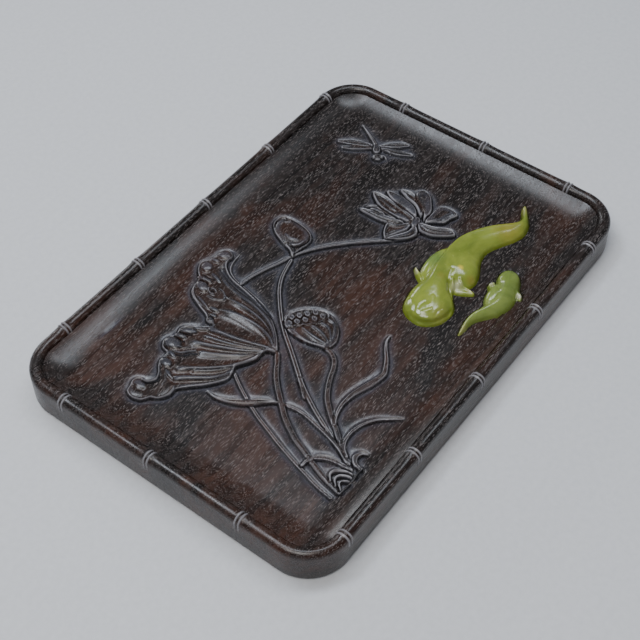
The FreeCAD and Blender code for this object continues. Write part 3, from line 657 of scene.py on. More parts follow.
# The outline of each catfish seen from above, and its ridge: points of x, y and height.
LARGE_OUTLINE = (
    (9.4, -50.4), (11, -54), (13.8, -56.8), (17.6, -59.4), (21.4, -60.9), (25.5, -61.4),
    (30, -60.6), (34, -57.8), (37.3, -54.8), (40.3, -53.6), (43.5, -55.4), (47, -58),
    (50.5, -59.5), (55, -59.6), (60, -57.8), (64.4, -55.6), (70, -53), (75.6, -52.2),
    (81, -53.4), (86.7, -56.2), (93, -59.5), (99, -61.7), (104.4, -62), (110, -60.5),
    (115.6, -57), (121, -52.8), (123, -50.2), (119.4, -50.6), (114.5, -53.4),
    (110.5, -54.6), (106, -53), (101, -49.3), (95, -44.4), (88, -40), (80, -36.6),
    (72, -34.6), (64, -34), (56, -34), (48, -34.6), (40, -35.6), (35, -35.2), (31, -34.2),
    (26, -34), (20.8, -35.3), (16, -38), (12.2, -41.8), (9.9, -46.2),
)
LARGE_RIDGE = (
    (16, -50, 4.7), (22, -48.4, 6.1), (27.3, -46.2, 7.3), (32, -44, 8.0),
    (38.6, -41.6, 8.4), (43.3, -39.8, 8.5), (48.2, -38.4, 8.6), (58, -36.8, 8.5),
    (65.4, -36.3, 8.2), (72.7, -36.9, 7.7), (79.6, -39, 7.1), (86.6, -42.4, 6.4),
    (94.3, -47.2, 5.6), (100.3, -52.4, 4.9), (105.8, -57, 4.4), (110.8, -57.2, 3.8),
    (116, -54.2, 3.1), (120.4, -51.6, 2.2),
)
SMALL_OUTLINE = (
    (16.9, -72.4), (20.5, -73.3), (25.6, -73.3), (30, -74.7), (34.4, -77.8), (39, -81.2),
    (43, -83.3), (47.8, -84.8), (53, -84.9), (58, -84), (61, -82.9), (64.4, -81.8),
    (69, -79.4), (72.4, -76), (73.8, -72.2), (72.8, -69.4), (69.5, -67.7), (66, -67.8),
    (62, -69.6), (57, -71), (51, -71.6), (45, -72.6), (39, -71.8), (34.4, -70.6),
    (30, -70), (25.5, -70.2), (21, -71.2),
)
SMALL_RIDGE = (
    (17.8, -72.4, 1.3), (21.5, -71.8, 2.1), (27.5, -71.4, 3.0), (33, -72.3, 3.8),
    (38.5, -75.1, 4.6), (45.9, -77.8, 5.3), (53.7, -77.5, 5.5), (62, -75, 5.3),
    (67.5, -73, 4.6),
)


def large_catfish_form(stone):
    stone.join(stone.ridged_form(LARGE_OUTLINE, LARGE_RIDGE))
    stone.join(stone.oval(22.2, -48.0, 12.6, 13.0, 10, 6.4, 2.3), 1.4)
    stone.join(stone.oval(53, -36.4, 15.5, 8.2, -3, 5.4, 2.2), 0.8)
    stone.join(stone.oval(56, -50.0, 11.0, 8.6, 12, 5.6, 2.2), 2.0)
    stone.crease(((30, -60.2), (23, -60.4), (17.3, -58.8), (12.9, -55.3), (10.6, -50.6),
                  (10.7, -45.8), (12.6, -41.8)), (0.6, 0.75, 0.55), 1.5)
    for points, half, depth in LARGE_CREASES:
        stone.crease(points, (half * 0.7, half, half * 0.7), depth)
    stone.join(stone.spine_form(((36.5, -34.5, 1.2, 2.4), (39, -31, 1.3, 2.6),
                                 (42.4, -26.6, 0.7, 1.8)), 2.4), 0.15)
    stone.join(stone.spine_form(((42.5, -55, 2.2, 1.6), (44, -58.5, 2.0, 1.3),
                                 (45.6, -62.4, 1.0, 0.9)), 2.4), 0.15)
    stone.join(stone.spine_form(((45.6, -55.5, 0.7, 2.8), (46.4, -59, 0.6, 2.3),
                                 (46.2, -63.2, 0.5, 1.6)), 2.0), 0.15)


# Folds and cuts of the large catfish: points, half width, depth (ridges are negative).
LARGE_CREASES = (
    (((10.5, -43.5), (14.8, -42.6), (18.2, -40.3), (19.6, -37.6)), 0.6, -0.35),
    (((11, -45.6), (15.8, -44.4), (19.4, -41.8)), 0.6, 0.3),
    (((12.8, -53.4), (15, -56.2), (18.6, -58.2)), 0.7, -0.2),
    (((16.4, -56.6), (20, -56), (24, -57)), 0.6, 0.4),
    (((13.6, -48.6), (16.8, -51.6), (20.4, -53)), 0.9, -0.25),
    (((14.6, -46.8), (18.2, -46.2), (22, -47.6)), 0.8, 0.3),
    (((19, -50.2), (23.4, -50), (28, -48)), 1.0, -0.25),
    (((35.4, -56.5), (37, -53.4), (39.8, -50.6), (43, -48.6)), 1.0, 2.4),
    (((38, -55.6), (40.5, -54), (42.8, -51.4), (46, -48.8)), 0.7, -1.4),
    (((40.5, -57.6), (43.5, -57), (46.6, -56.8)), 0.8, 1.4),
    (((44, -57), (46.6, -54.8), (48.2, -52.2)), 0.7, -1.2),
    (((39.5, -53.8), (42.2, -53.4), (44.6, -50.8)), 0.6, 1.2),
    (((41, -56.2), (43.6, -54.8), (45.6, -53.4)), 0.6, -0.9),
    (((41, -48.4), (46.4, -46.4), (52, -46)), 1.4, 0.4),
    (((41, -36.6), (48, -34.6), (56, -34), (62, -34.4)), 0.8, 0.9),
)


def small_catfish_form(stone):
    stone.join(stone.ridged_form(SMALL_OUTLINE, SMALL_RIDGE, 1.35, 0.7))
    stone.join(stone.oval(66, -74, 7.4, 6.4, 15, 4.6, 2.6), 1.0)
    stone.join(stone.oval(53, -73.6, 9.5, 4.9, 4, 4.0, 2.2), 0.5)
    stone.crease(((42, -74.2), (48, -75.4), (55, -74.8)), (0.5, 0.8, 0.5), 0.6)
    stone.join(stone.spine_form(((53.6, -70.2, 0.8, 1.9), (56.6, -67.4, 1.0, 2.3),
                                 (59.4, -68.4, 0.7, 2.0)), 2.4), 0.15)
    stone.join(stone.spine_form(((61.5, -82, 1.4, 1.7), (60.4, -84.6, 1.2, 1.5),
                                 (57.6, -86.4, 0.7, 1.0)), 2.4), 0.15)
    stone.crease(((61.8, -82.2), (60.8, -84.4), (58.4, -86)), (0.35, 0.4, 0.3), 0.5)


# ------------------------------------------------------------------ mesh building


def mesh_object(name, points, faces):
    """A smooth mesh from points in millimetres and faces that all have as many sides."""
    mesh = bpy.data.meshes.new(name)
    corners = np.array(faces, dtype=np.int32)
    mesh.vertices.add(len(points))
    mesh.vertices.foreach_set("co", (np.asarray(points, dtype=np.float32) * MM).ravel())
    count, sides = corners.shape
    mesh.loops.add(count * sides)
    mesh.loops.foreach_set("vertex_index", corners.ravel())
    mesh.polygons.add(count)
    mesh.polygons.foreach_set("loop_start", np.arange(0, count * sides, sides, dtype=np.int32))
    mesh.update(calc_edges=True)
    mesh.validate()
    mesh.polygons.foreach_set("use_smooth", np.full(len(mesh.polygons), True))
    thing = bpy.data.objects.new(name, mesh)
    bpy.context.scene.collection.objects.link(thing)
    return thing


def apply_modifiers(thing):
    bpy.context.view_layer.update()
    graph = bpy.context.evaluated_depsgraph_get()
    mesh = bpy.data.meshes.new_from_object(thing.evaluated_get(graph))
    thing.modifiers.clear()
    thing.data = mesh
    mesh.polygons.foreach_set("use_smooth", np.full(len(mesh.polygons), True))


def thin_out(thing, triangles):
    """Merges the needless points of the flat places, down to about that many triangles."""
    now = sum(len(face.vertices) - 2 for face in thing.data.polygons)
    if now <= triangles:
        return
    reduce = thing.modifiers.new("thin", "DECIMATE")
    reduce.ratio = triangles / now
    apply_modifiers(thing)


def grid_faces(number, cells):
    """Quads over the chosen cells of a grid of point numbers."""
    corners = (number[:-1, :-1], number[:-1, 1:], number[1:, 1:], number[1:, :-1])
    return np.stack([corner[cells] for corner in corners], axis=1)


def ring_faces(inner, outer):
    """Quads between two closed rings of as many point numbers."""
    return np.stack([np.roll(inner, -1), inner, outer, np.roll(outer, -1)], axis=1)


def stone_mesh(name, stone):
    """The height field as a closed solid that sinks a little into the dish floor."""
    keep = stone.height > STONE_SUNK
    cells = keep[:-1, :-1] | keep[1:, :-1] | keep[:-1, 1:] | keep[1:, 1:]
    number = np.arange(keep.size).reshape(keep.shape)
    quads = grid_faces(number, cells)
    used = np.zeros(keep.size, dtype=bool)
    used[quads.ravel()] = True
    quads = (np.cumsum(used) - 1)[quads]
    count = int(used.sum())
    height = np.maximum(stone.height, STONE_SUNK).ravel()[used] + FLOOR
    flat = np.stack([stone.x.ravel()[used], stone.y.ravel()[used]], axis=1)
    top = np.column_stack([flat, height])
    bottom = np.column_stack([flat, np.full(count, FLOOR + STONE_SUNK - 0.05)])
    edges = np.concatenate([quads[:, [0, 1]], quads[:, [1, 2]], quads[:, [2, 3]],
                            quads[:, [3, 0]]])
    there = set(map(tuple, edges.tolist()))
    sides = [(b, a, a + count, b + count) for a, b in there if (b, a) not in there]
    faces = np.concatenate([quads, quads[:, ::-1] + count, np.array(sides)])
    thing = mesh_object(name, np.vstack([top, bottom]), faces)
    relax = thing.modifiers.new("relax", "SMOOTH")
    relax.factor = 0.5
    relax.iterations = 4
    apply_modifiers(thing)
    thin_out(thing, FISH_TRIANGLES)
    return thing


def grid_lines(straight, half):
    """Positions of the grid lines one way: evenly spaced, and closer beside the corners."""
    lines = list(np.linspace(-half, -straight, CORNER_LINES + 1))
    place = -straight
    while place < straight - 1e-6:
        place = min(place + GRID_STEP, straight)
        lines.append(place)
    lines += list(np.linspace(straight, half, CORNER_LINES + 1))[1:]
    return np.array(lines)


def rim_columns(xs, ys):
    """One column per grid line round the dish, counter-clockwise from the -Y side.

    A column is a point on the line or arc of corner centres, and the way it looks out.
    """
    columns = []
    for side, values in enumerate((xs[:-1], ys[:-1], xs[::-1][:-1], ys[::-1][:-1])):
        along_x = side % 2 == 0
        straight = STRAIGHT_X if along_x else STRAIGHT_Y
        half = GRID_HALF_X if along_x else GRID_HALF_Y
        forward = 1 if side < 2 else -1
        for value in values:
            over = (abs(value) - straight) / (half - straight)
            sign = 1 if value * forward > 0 else -1
            angle = math.radians(90 * side - 90 + sign * 45 * max(over, 0))
            held = max(min(value, straight), -straight)
            centre = (held, -forward * STRAIGHT_Y) if along_x else (forward * STRAIGHT_X, held)
            columns.append((*centre, math.cos(angle), math.sin(angle)))
    return np.array(columns)


def rim_profile():
    """Inset and height of the cove, crease, rod and wall, from the dish to the foot."""
    points = []
    for step in range(FOOT_STEPS + 1):
        turn = math.radians(90 * step / FOOT_STEPS)
        points.append((FOOT_RADIUS * (1 - math.sin(turn)), FOOT_RADIUS * (1 - math.cos(turn))))
    points += [(0.0, level) for level in WALL_LEVELS]
    for step in range(ROD_STEPS):
        turn = math.radians(180 * step / ROD_STEPS)
        inset = ROD_RADIUS * (1 - math.cos(turn))
        points.append((inset, RIM_TOP - ROD_RADIUS + ROD_RADIUS * math.sin(turn)))
    crease = RIM_TOP - CREASE_DEPTH
    points += [(CREASE_INSET, crease), (CREASE_INSET + CREASE_WIDTH, crease)]
    for step in range(COVE_STEPS + 1):
        inset = COVE_START + (RIM_START - COVE_START) * step / COVE_STEPS
        points.append((inset, FLOOR + cove_rise(inset)))
    return points[::-1]


def profile_normal(profile, index):
    """The outward way (out, up) of the rim's section at one of its points."""
    before = profile[max(index - 1, 0)]
    after = profile[min(index + 1, len(profile) - 1)]
    inset_way = after[0] - before[0]
    up_way = after[1] - before[1]
    size = math.hypot(inset_way, up_way) or 1.0
    return -up_way / size, -inset_way / size


def cove_rise(inset):
    """How far the dish side stands over the floor at that distance from the outside."""
    share = np.clip((COVE_END - inset) / (COVE_END - COVE_START), 0, 1)
    return COVE_HEIGHT * share ** 2


def inset_at(x, y):
    """The distance inward from the rounded outside edge of the tray."""
    past_x = np.abs(x) - STRAIGHT_X
    past_y = np.abs(y) - STRAIGHT_Y
    corner = np.hypot(np.maximum(past_x, 0), np.maximum(past_y, 0))
    return CORNER_RADIUS - corner - np.minimum(np.maximum(past_x, past_y), 0)


def crest_shares(columns):
    """How far round the rim's crest each column is, from 0 to 1, from the first ring."""
    points = columns[:, :2] + (CORNER_RADIUS - ROD_RADIUS) * columns[:, 2:]
    steps = np.hypot(*(np.roll(points, -1, axis=0) - points).T)
    start = np.argmin(np.hypot(points[:, 0] - FIRST_RING_X, points[:, 1] + HALF_Y - ROD_RADIUS))
    travelled = np.concatenate([[0], np.cumsum(steps)[:-1]])
    perimeter = steps.sum()
    return ((travelled - travelled[start]) / perimeter) % 1.0, perimeter


def ring_swell(shares, perimeter):
    """How far the bamboo stands proud along the rim: two thin ridges at each ring."""
    gap = (shares * RINGS) % 1.0
    gap = np.minimum(gap, 1 - gap) * perimeter / RINGS
    ridges = RIDGE_HEIGHT * bell(gap - RIDGE_OFFSET, RIDGE_WIDTH)
    groove = GROOVE_DEPTH * bell(gap, GROOVE_WIDTH)
    return ridges - groove + KNUCKLE_HEIGHT * bell(gap, KNUCKLE_WIDTH)


def ring_reach(inset, level):
    """The rings run right over the rod and fade out down the wall."""
    if inset > CREASE_INSET:
        return 0.0
    return float(smooth_step(RING_FADE_LOW, RING_FADE_HIGH, np.array(level)))


def box_blur(values, reach, axis):
    """The mean of each value and its neighbours, so many either way along one axis."""
    total = np.zeros(values.shape)
    for step in range(-reach, reach + 1):
        total += np.roll(values, step, axis=axis)
    return total / (2 * reach + 1)


def blurred(values, reach):
    """The mean over about that many millimetres, smoothed three times."""
    cells = max(int(round(reach / GRID_STEP)), 1)
    for _ in range(3):
        values = box_blur(box_blur(values, cells, 0), cells, 1)
    return values


def dish_heights(x, y):
    """The carved floor of the dish before any ground is cut away."""
    carving = Carving(x, y)
    carve_stems(carving)
    carve_leaf(carving)
    carve_roots(carving)
    carve_seed_pod(carving)
    carve_bud(carving)
    carve_blossom(carving)
    carve_dragonfly(carving)
    return carving.height


def settled_ground(height, near):
    """Cuts the ground down a little round every shape, as the carver did."""
    return height - GROUND_CUT * smooth_step(0.02, 0.28, near) * (height <= CARVED)


def hand_waves(x, y):
    """The faint unevenness that scraping by hand leaves on the flat ground."""
    waves = np.sin(x * 0.31 + 1.7 * np.sin(y * 0.13)) * np.sin(y * 0.43 + 1.3 * np.sin(x * 0.11))
    return WAVE_HEIGHT * waves


def stone_pocket(stone, x, y):
    """The dish floor lowered under a stone, a hair wider than the stone."""
    columns = np.clip((x - stone.x[0, 0]) / STONE_STEP, 0, stone.x.shape[1] - 1.001)
    rows = np.clip((y - stone.y[0, 0]) / STONE_STEP, 0, stone.x.shape[0] - 1.001)
    c, r = columns.astype(int), rows.astype(int)
    u, v = columns - c, rows - r
    height = stone.height
    there = (height[r, c] * (1 - u) * (1 - v) + height[r, c + 1] * u * (1 - v)
             + height[r + 1, c] * (1 - u) * v + height[r + 1, c + 1] * u * v)
    near = smooth_step(POCKET_START, POCKET_FULL, there)
    across = (x < stone.x[0, 0]) | (x > stone.x[0, -1])
    outside = across | (y < stone.y[0, 0]) | (y > stone.y[-1, 0])
    near = np.where(outside, 0, near)
    return np.where(near > 0, 0.02 - POCKET_DEPTH * near, 99.0)


def dish_part(xs, ys, pockets):
    """The points of the dish floor, and the marks on them that the wood material reads.

    crest and edge say how far a point stands over what is round it, widely and closely. The wood
    material paints sheen and highlights where they stand high and shade where edge sinks low.
    inside and beside are 1 in the middle of a carved shape, or of the ground near one.
    """
    x, y = np.meshgrid(xs, ys)
    carved = dish_heights(x, y)
    near = blurred((carved > CARVED).astype(float), NEAR_REACH)
    height = settled_ground(carved, near) + hand_waves(x, y)
    marks = {
        "crest": (height - blurred(height, CREST_REACH)).ravel(),
        "edge": (height - blurred(height, EDGE_REACH)).ravel(),
        "inside": np.where(carved > CARVED, near, 0).ravel(),
        "beside": np.where(carved > CARVED, 0, near).ravel(),
    }
    height = height + cove_rise(inset_at(x, y))
    for stone in pockets:
        height = np.minimum(height, stone_pocket(stone, x, y))
    return np.column_stack([x.ravel(), y.ravel(), height.ravel() + FLOOR]), marks


def rim_rings(columns, pockets):
    """The rim's rings of points from the dish to the foot, and how proud each point is."""
    shares, perimeter = crest_shares(columns)
    swell = ring_swell(shares, perimeter)
    profile = rim_profile()
    rings = []
    proud_of_rings = []
    for index, (inset, level) in enumerate(profile):
        proud = swell * ring_reach(inset, level)
        out_way, up_way = profile_normal(profile, index)
        radius = CORNER_RADIUS - inset + proud * out_way
        x = columns[:, 0] + radius * columns[:, 2]
        y = columns[:, 1] + radius * columns[:, 3]
        high = level + proud * up_way
        if inset > COVE_START:
            for stone in pockets:
                high = np.minimum(high, FLOOR + stone_pocket(stone, x, y))
        rings.append(np.column_stack([x, y, high]))
        proud_of_rings.append(proud)
    return rings, np.concatenate(proud_of_rings)


def tray_mesh(name, pockets):
    """The whole tray as one closed mesh: dish grid, cove, rod, wall and underside."""
    xs = grid_lines(STRAIGHT_X, GRID_HALF_X)
    ys = grid_lines(STRAIGHT_Y, GRID_HALF_Y)
    dish, marks = dish_part(xs, ys, pockets)
    rings, proud = rim_rings(rim_columns(xs, ys), pockets)
    number = np.arange(len(dish)).reshape(len(ys), len(xs))
    faces = [grid_faces(number, np.full((len(ys) - 1, len(xs) - 1), True))]
    inner = np.concatenate([number[0, :-1], number[:-1, -1], number[-1, ::-1][:-1],
                            number[::-1, 0][:-1]])
    start = len(dish)
    for ring in rings:
        outer = start + np.arange(len(ring))
        faces.append(ring_faces(inner, outer))
        inner = outer
        start += len(ring)
    middle = start
    lower = middle + 1 + np.arange(len(inner))
    faces.append(ring_faces(inner, lower))
    fan = np.stack([np.roll(lower, -1), lower, np.full(len(lower), middle)], axis=1)
    quads = np.concatenate(faces)
    triangles = np.concatenate([quads[:, [0, 1, 2]], quads[:, [0, 2, 3]], fan])
    underside = rings[-1] * (0.5, 0.5, 0.0)
    points = np.vstack([dish, *rings, np.zeros((1, 3)), underside])
    thing = mesh_object(name, points, triangles)
    # The rings of the rim carry these marks too, so the material paints highlights on their
    # ridges.
    marks["crest"] = np.append(marks["crest"], proud)
    marks["edge"] = np.append(marks["edge"], RING_EDGE * proud)
    for mark, values in marks.items():
        add_marks(thing, mark, np.pad(values, (0, len(points) - len(values))))
    thin_out(thing, TRAY_TRIANGLES)
    thing.data.set_sharp_from_angle(angle=math.radians(SHARP_DEGREES))
    return thing


def add_marks(thing, name, values):
    """Stores one number per point of the mesh for the material to read."""
    marks = thing.data.attributes.new(name, "FLOAT", "POINT")
    marks.data.foreach_set("value", values.astype(np.float32))


# --------------------------------------------------------------------- materials


class Nodes:
    """Short ways to make and join shader nodes."""

    def __init__(self, name):
        self.material = bpy.data.materials.new(name)
        self.material.use_nodes = True
        self.tree = self.material.node_tree
        self.tree.nodes.clear()
        self.out = self.add("ShaderNodeOutputMaterial")
        self.shader = self.add("ShaderNodeBsdfPrincipled")
        self.join(self.shader.outputs["BSDF"], self.out.inputs["Surface"])
        self.coords = self.add("ShaderNodeTexCoord").outputs["Object"]

    def add(self, kind, **settings):
        node = self.tree.nodes.new(kind)
        for key, value in settings.items():
            setattr(node, key, value)
        return node

    def join(self, source, target):
        self.tree.links.new(source, target)

    def stretched(self, scale, shift):
        mapping = self.add("ShaderNodeMapping")
        mapping.inputs["Scale"].default_value = scale
        mapping.inputs["Location"].default_value = shift
        self.join(self.coords, mapping.inputs["Vector"])
        return mapping.outputs["Vector"]

    def noise(self, scale, shift=(0, 0, 0), detail=3.0, rough=0.5, twist=0.0):
        """Cloudy noise, with scale in cells per metre along X, Y and Z."""
        node = self.add("ShaderNodeTexNoise")
        node.inputs["Scale"].default_value = 1.0
        node.inputs["Detail"].default_value = detail
        node.inputs["Roughness"].default_value = rough
        node.inputs["Distortion"].default_value = twist
        self.join(self.stretched(scale, shift), node.inputs["Vector"])
        return node.outputs["Fac"]

    def cells(self, scale, shift):
        node = self.add("ShaderNodeTexVoronoi")
        node.inputs["Scale"].default_value = 1.0
        self.join(self.stretched(scale, shift), node.inputs["Vector"])
        return node

    def marks(self, name):
        """The number stored under that name at each point of the mesh."""
        return self.add("ShaderNodeAttribute", attribute_name=name).outputs["Fac"]

    def ramp(self, source, *stops):
        """Maps a value to colours; a stop is a place and a grey or a colour."""
        node = self.add("ShaderNodeValToRGB")
        band = node.color_ramp
        while len(band.elements) < len(stops):
            band.elements.new(0.5)
        for element, (place, colour) in zip(band.elements, stops):
            element.position = place
            if isinstance(colour, (int, float)):
                colour = (colour, colour, colour)
            element.color = (*colour, 1)
        self.join(source, node.inputs["Fac"])
        return node.outputs["Color"]

    def rise(self, source, low, high, top=1.0):
        """Maps a value to 0 up to the low one and to the top grey from the high one."""
        return self.ramp(source, (low, 0.0), (high, top))

    def mix(self, share, first, second):
        node = self.add("ShaderNodeMix", data_type="RGBA")
        self.plug(share, node.inputs[0])
        self.plug(first, node.inputs[6])
        self.plug(second, node.inputs[7])
        return node.outputs[2]

    def maths(self, operation, *values):
        node = self.add("ShaderNodeMath", operation=operation)
        for value, socket in zip(values, node.inputs):
            self.plug(value, socket)
        return node.outputs[0]

    def times(self, first, second):
        return self.maths("MULTIPLY", first, second)

    def plug(self, value, socket):
        """Joins another node's output to the socket, or sets it to a number or a colour."""
        if isinstance(value, bpy.types.NodeSocket):
            self.join(value, socket)
        elif socket.type != "RGBA":
            socket.default_value = value
        elif isinstance(value, (int, float)):
            socket.default_value = (value, value, value, 1)
        else:
            socket.default_value = (*value, 1)

    def surface(self, **values):
        """Plugs the shader's inputs, with _ for a space in their names."""
        for name, value in values.items():
            self.plug(value, self.shader.inputs[name.replace("_", " ")])
        return self.material

    def bump(self, height, distance, strength=1.0, before=None):
        node = self.add("ShaderNodeBump")
        node.inputs["Strength"].default_value = strength
        node.inputs["Distance"].default_value = distance
        self.join(height, node.inputs["Height"])
        if before is not None:
            self.join(before, node.inputs["Normal"])
        return node.outputs["Normal"]


# The wood's colours. Each shade of the wood runs from a deep streak to a pale one.
DARK_WOOD = ((0.005, 0.0035, 0.003), (0.013, 0.0078, 0.0062))
WARM_WOOD = ((0.019, 0.0069, 0.0038), (0.049, 0.0165, 0.0078))
# Grey of the waxy film beside the carving, also laid on its crests as a painted sheen.
WAX_AND_SHEEN_COLOUR = (0.076, 0.079, 0.1)
PORE_COLOUR = (0.29, 0.25, 0.24)
# Pale grey painted highlights on the sharpest crests of the carving and on the ridges of the rim's
# rings.
EDGE_HIGHLIGHT_COLOUR = (0.34, 0.33, 0.35)
# Near-black painted shade in the grooves and cut lines of the carving.
CUT_SHADE_COLOUR = (0.004, 0.003, 0.003)
WAX_AND_SHEEN_SHARE = 0.6
EDGE_HIGHLIGHT_SHARE = 0.65
CUT_SHADE_SHARE = 0.75


def wood_material():
    """Dark polished rosewood: near-black brown with red-brown clouds and long pores, with painted
    sheen and highlights on the crests of the carving and painted shade in its grooves.
    """
    n = Nodes("dark_hardwood")
    clouds = n.noise((16, 40, 40), (3.1, 0.4, 0), detail=4, rough=0.55, twist=0.4)
    streaks = n.noise((14, 260, 260), (0, 2.0, 0), detail=4, rough=0.6, twist=0.3)
    fine = n.noise((60, 1500, 1500), (1.3, 0, 0), detail=2)
    crest = n.marks("crest")
    edge = n.marks("edge")
    inside = n.marks("inside")
    hollow = n.times(n.maths("MULTIPLY_ADD", crest, -1.6, 0.25), n.rise(inside, 0.62, 0.86))
    warmth = n.maths("MAXIMUM", n.rise(clouds, 0.46, 0.66), hollow)
    dark = n.mix(n.rise(streaks, 0.35, 0.7), *DARK_WOOD)
    warm = n.mix(n.rise(streaks, 0.3, 0.7), *WARM_WOOD)
    pores = n.maths("MAXIMUM", pore_mask(n, (200, 2000, 2000), (0, 0, 0), 0.18),
                    pore_mask(n, (300, 2900, 2900), (5, 3, 0), 0.2))
    wax_and_sheen = wax_and_sheen_mask(n, crest, inside)
    # Painted highlights where a point stands clearly over what is close round it.
    edges = n.rise(n.times(edge, 2.0), 0.46, 0.92)
    # Painted shade where a point sinks below what is close round it.
    cut_shade = n.rise(n.times(edge, -2.0), 0.12, 0.5)
    pore_share = n.times(pores, n.maths("MULTIPLY_ADD", wax_and_sheen, -0.4, 0.7))
    colour = n.mix(warmth, dark, warm)
    colour = n.mix(n.times(wax_and_sheen, WAX_AND_SHEEN_SHARE), colour, WAX_AND_SHEEN_COLOUR)
    colour = n.mix(pore_share, colour, PORE_COLOUR)
    colour = n.mix(n.times(edges, EDGE_HIGHLIGHT_SHARE), colour, EDGE_HIGHLIGHT_COLOUR)
    colour = n.mix(n.times(cut_shade, CUT_SHADE_SHARE), colour, CUT_SHADE_COLOUR)
    rough = n.mix(wax_and_sheen, n.ramp(streaks, (0.3, 0.24), (0.75, 0.32)), 0.24)
    grain = n.bump(fine, 0.00004, 0.5)
    pitted = n.bump(n.maths("SUBTRACT", 1.0, pores), 0.00012, 0.8, grain)
    return n.surface(Base_Color=colour, Roughness=n.mix(pores, rough, 0.6),
                     Specular_IOR_Level=0.5, Normal=pitted)


def wax_and_sheen_mask(n, crest, inside):
    """Grey on the crests of the carving, a painted sheen, and a waxy grey film in the cut ground
    beside it.
    """
    # Painted sheen on the crests; the halo is the waxy film on the ground beside the carving.
    sheen_on_crests = n.rise(n.maths("MULTIPLY_ADD", crest, 0.5, 0.5), 0.57, 0.7, 0.85)
    broad = n.ramp(inside, (0.52, 0.1), (0.8, 1.0))
    halo = n.rise(n.marks("beside"), 0.0, 0.2)
    patchy = n.ramp(n.noise((90, 140, 140), (7, 0, 0), detail=3), (0.3, 0.45), (0.6, 1.0))
    return n.times(n.maths("MAXIMUM", n.times(sheen_on_crests, broad), halo), patchy)


def pore_mask(n, scale, shift, size):
    """Short dashes along X: white in a pore, black elsewhere."""
    cells = n.cells(scale, shift)
    dashes = n.ramp(cells.outputs["Distance"], (size, 1.0), (size + 0.1, 0.0))
    return n.times(dashes, n.rise(cells.outputs["Color"], 0.35, 0.55))


# The brown stains and pale flecks of both stones.
STAIN_COLOUR = (0.30, 0.22, 0.04)
FLECK_COLOUR = (0.62, 0.62, 0.30)


def stone_material(name, deep, light, seed, tints_and_highlights):
    """Polished translucent yellow-green stone with soft clouds and local tinted spots, a few of
    them painted highlights.

    Each tinted spot is a place in millimetres, how far it reaches, its share and its colour.
    """
    n = Nodes(name)
    clouds = n.noise((45, 60, 60), (seed, 0, 0), detail=5, rough=0.6, twist=0.8)
    patches = n.noise((25, 40, 40), (0, seed, 2), detail=3, rough=0.5, twist=0.5)
    flecks = n.noise((420, 420, 420), (seed, seed, 0), detail=3, rough=0.7)
    scraped = n.noise((170, 230, 230), (seed, 0, 5), detail=2)
    colour = n.mix(n.rise(clouds, 0.35, 0.68), deep, light)
    colour = n.mix(n.rise(patches, 0.62, 0.8, 0.4), colour, STAIN_COLOUR)
    for place, reach, share, spot_colour in tints_and_highlights:
        colour = n.mix(spot_mask(n, place, reach, share), colour, spot_colour)
    colour = n.mix(n.rise(flecks, 0.66, 0.8, 0.3), colour, FLECK_COLOUR)
    uneven = n.bump(scraped, 0.0006, 0.45)
    return n.surface(Base_Color=colour, Roughness=n.ramp(flecks, (0.3, 0.17), (0.8, 0.28)),
                     IOR=1.56, Coat_Weight=0.5, Coat_Roughness=0.12, Subsurface_Weight=0.4,
                     Subsurface_Radius=(1.0, 0.95, 0.3), Subsurface_Scale=0.003,
                     Normal=n.bump(flecks, 0.00003, 0.4, uneven))


def spot_mask(n, place, reach, share):
    """A soft round spot of the given share about a place, with a ragged edge."""
    away = n.add("ShaderNodeVectorMath", operation="DISTANCE")
    n.join(n.coords, away.inputs[0])
    away.inputs[1].default_value = [value * MM for value in place]
    ragged = n.noise((260, 260, 260), (place[0], 0, 0), detail=3)
    distance = n.maths("MULTIPLY_ADD", ragged, 0.4 * reach * MM, away.outputs["Value"])
    scaled = n.maths("DIVIDE", distance, 1.3 * reach * MM)
    return n.ramp(scaled, (0.35, share), (1.0, 0.0))


LARGE_TINTS_AND_HIGHLIGHTS = (
    ((52, -31, 17), 10, 0.7, (0.13, 0.22, 0.05)),
    ((97, -54, 18), 11, 0.45, (0.34, 0.26, 0.03)),
    ((20, -58, 17), 8, 0.35, (0.26, 0.23, 0.06)),
    # The pale patch on the folded fin is partly the fin's paler stone and partly a painted
    # highlight on its facets.
    ((42.5, -54.8, 18), 4.6, 0.7, (0.60, 0.58, 0.38)),
    ((41, -44, 21), 3.2, 0.35, (0.30, 0.24, 0.03)),
    ((52, -58, 17), 4.0, 0.5, (0.30, 0.22, 0.03)),
    ((46, -61, 16), 3.0, 0.6, (0.42, 0.38, 0.16)),
    ((41.5, -28.5, 16), 3.6, 0.8, (0.58, 0.56, 0.36)),
    # The bright yellow spot on the top of the belly is a painted highlight.
    ((53.5, -49, 20), 2.2, 1.0, (0.80, 0.62, 0.06)),
    ((119, -52, 17), 6, 0.5, (0.42, 0.38, 0.16)),
)
SMALL_TINTS = (
    ((57.5, -68, 16), 2.4, 0.85, (0.58, 0.56, 0.40)),
    ((59.5, -85, 15.5), 2.6, 0.85, (0.58, 0.56, 0.40)),
    ((20, -72, 16), 6, 0.5, (0.42, 0.38, 0.16)),
    ((72, -73, 16), 4.5, 0.6, (0.10, 0.15, 0.05)),
)


def glue_material():
    n = Nodes("dried_glue")
    clouds = n.noise((300, 300, 300), detail=3)
    brown = n.ramp(clouds, (0.3, (0.12, 0.07, 0.03)), (0.7, (0.22, 0.14, 0.07)))
    return n.surface(Base_Color=brown, Roughness=n.ramp(clouds, (0.3, 0.5), (0.7, 0.7)),
                     Normal=n.bump(clouds, 0.0001))


def floor_material():
    n = Nodes("pale_floor")
    grain = n.noise((300, 300, 300), detail=2)
    pale = n.ramp(grain, (0.3, (0.60, 0.61, 0.63)), (0.7, (0.64, 0.65, 0.67)))
    return n.surface(Base_Color=pale, Roughness=0.8)


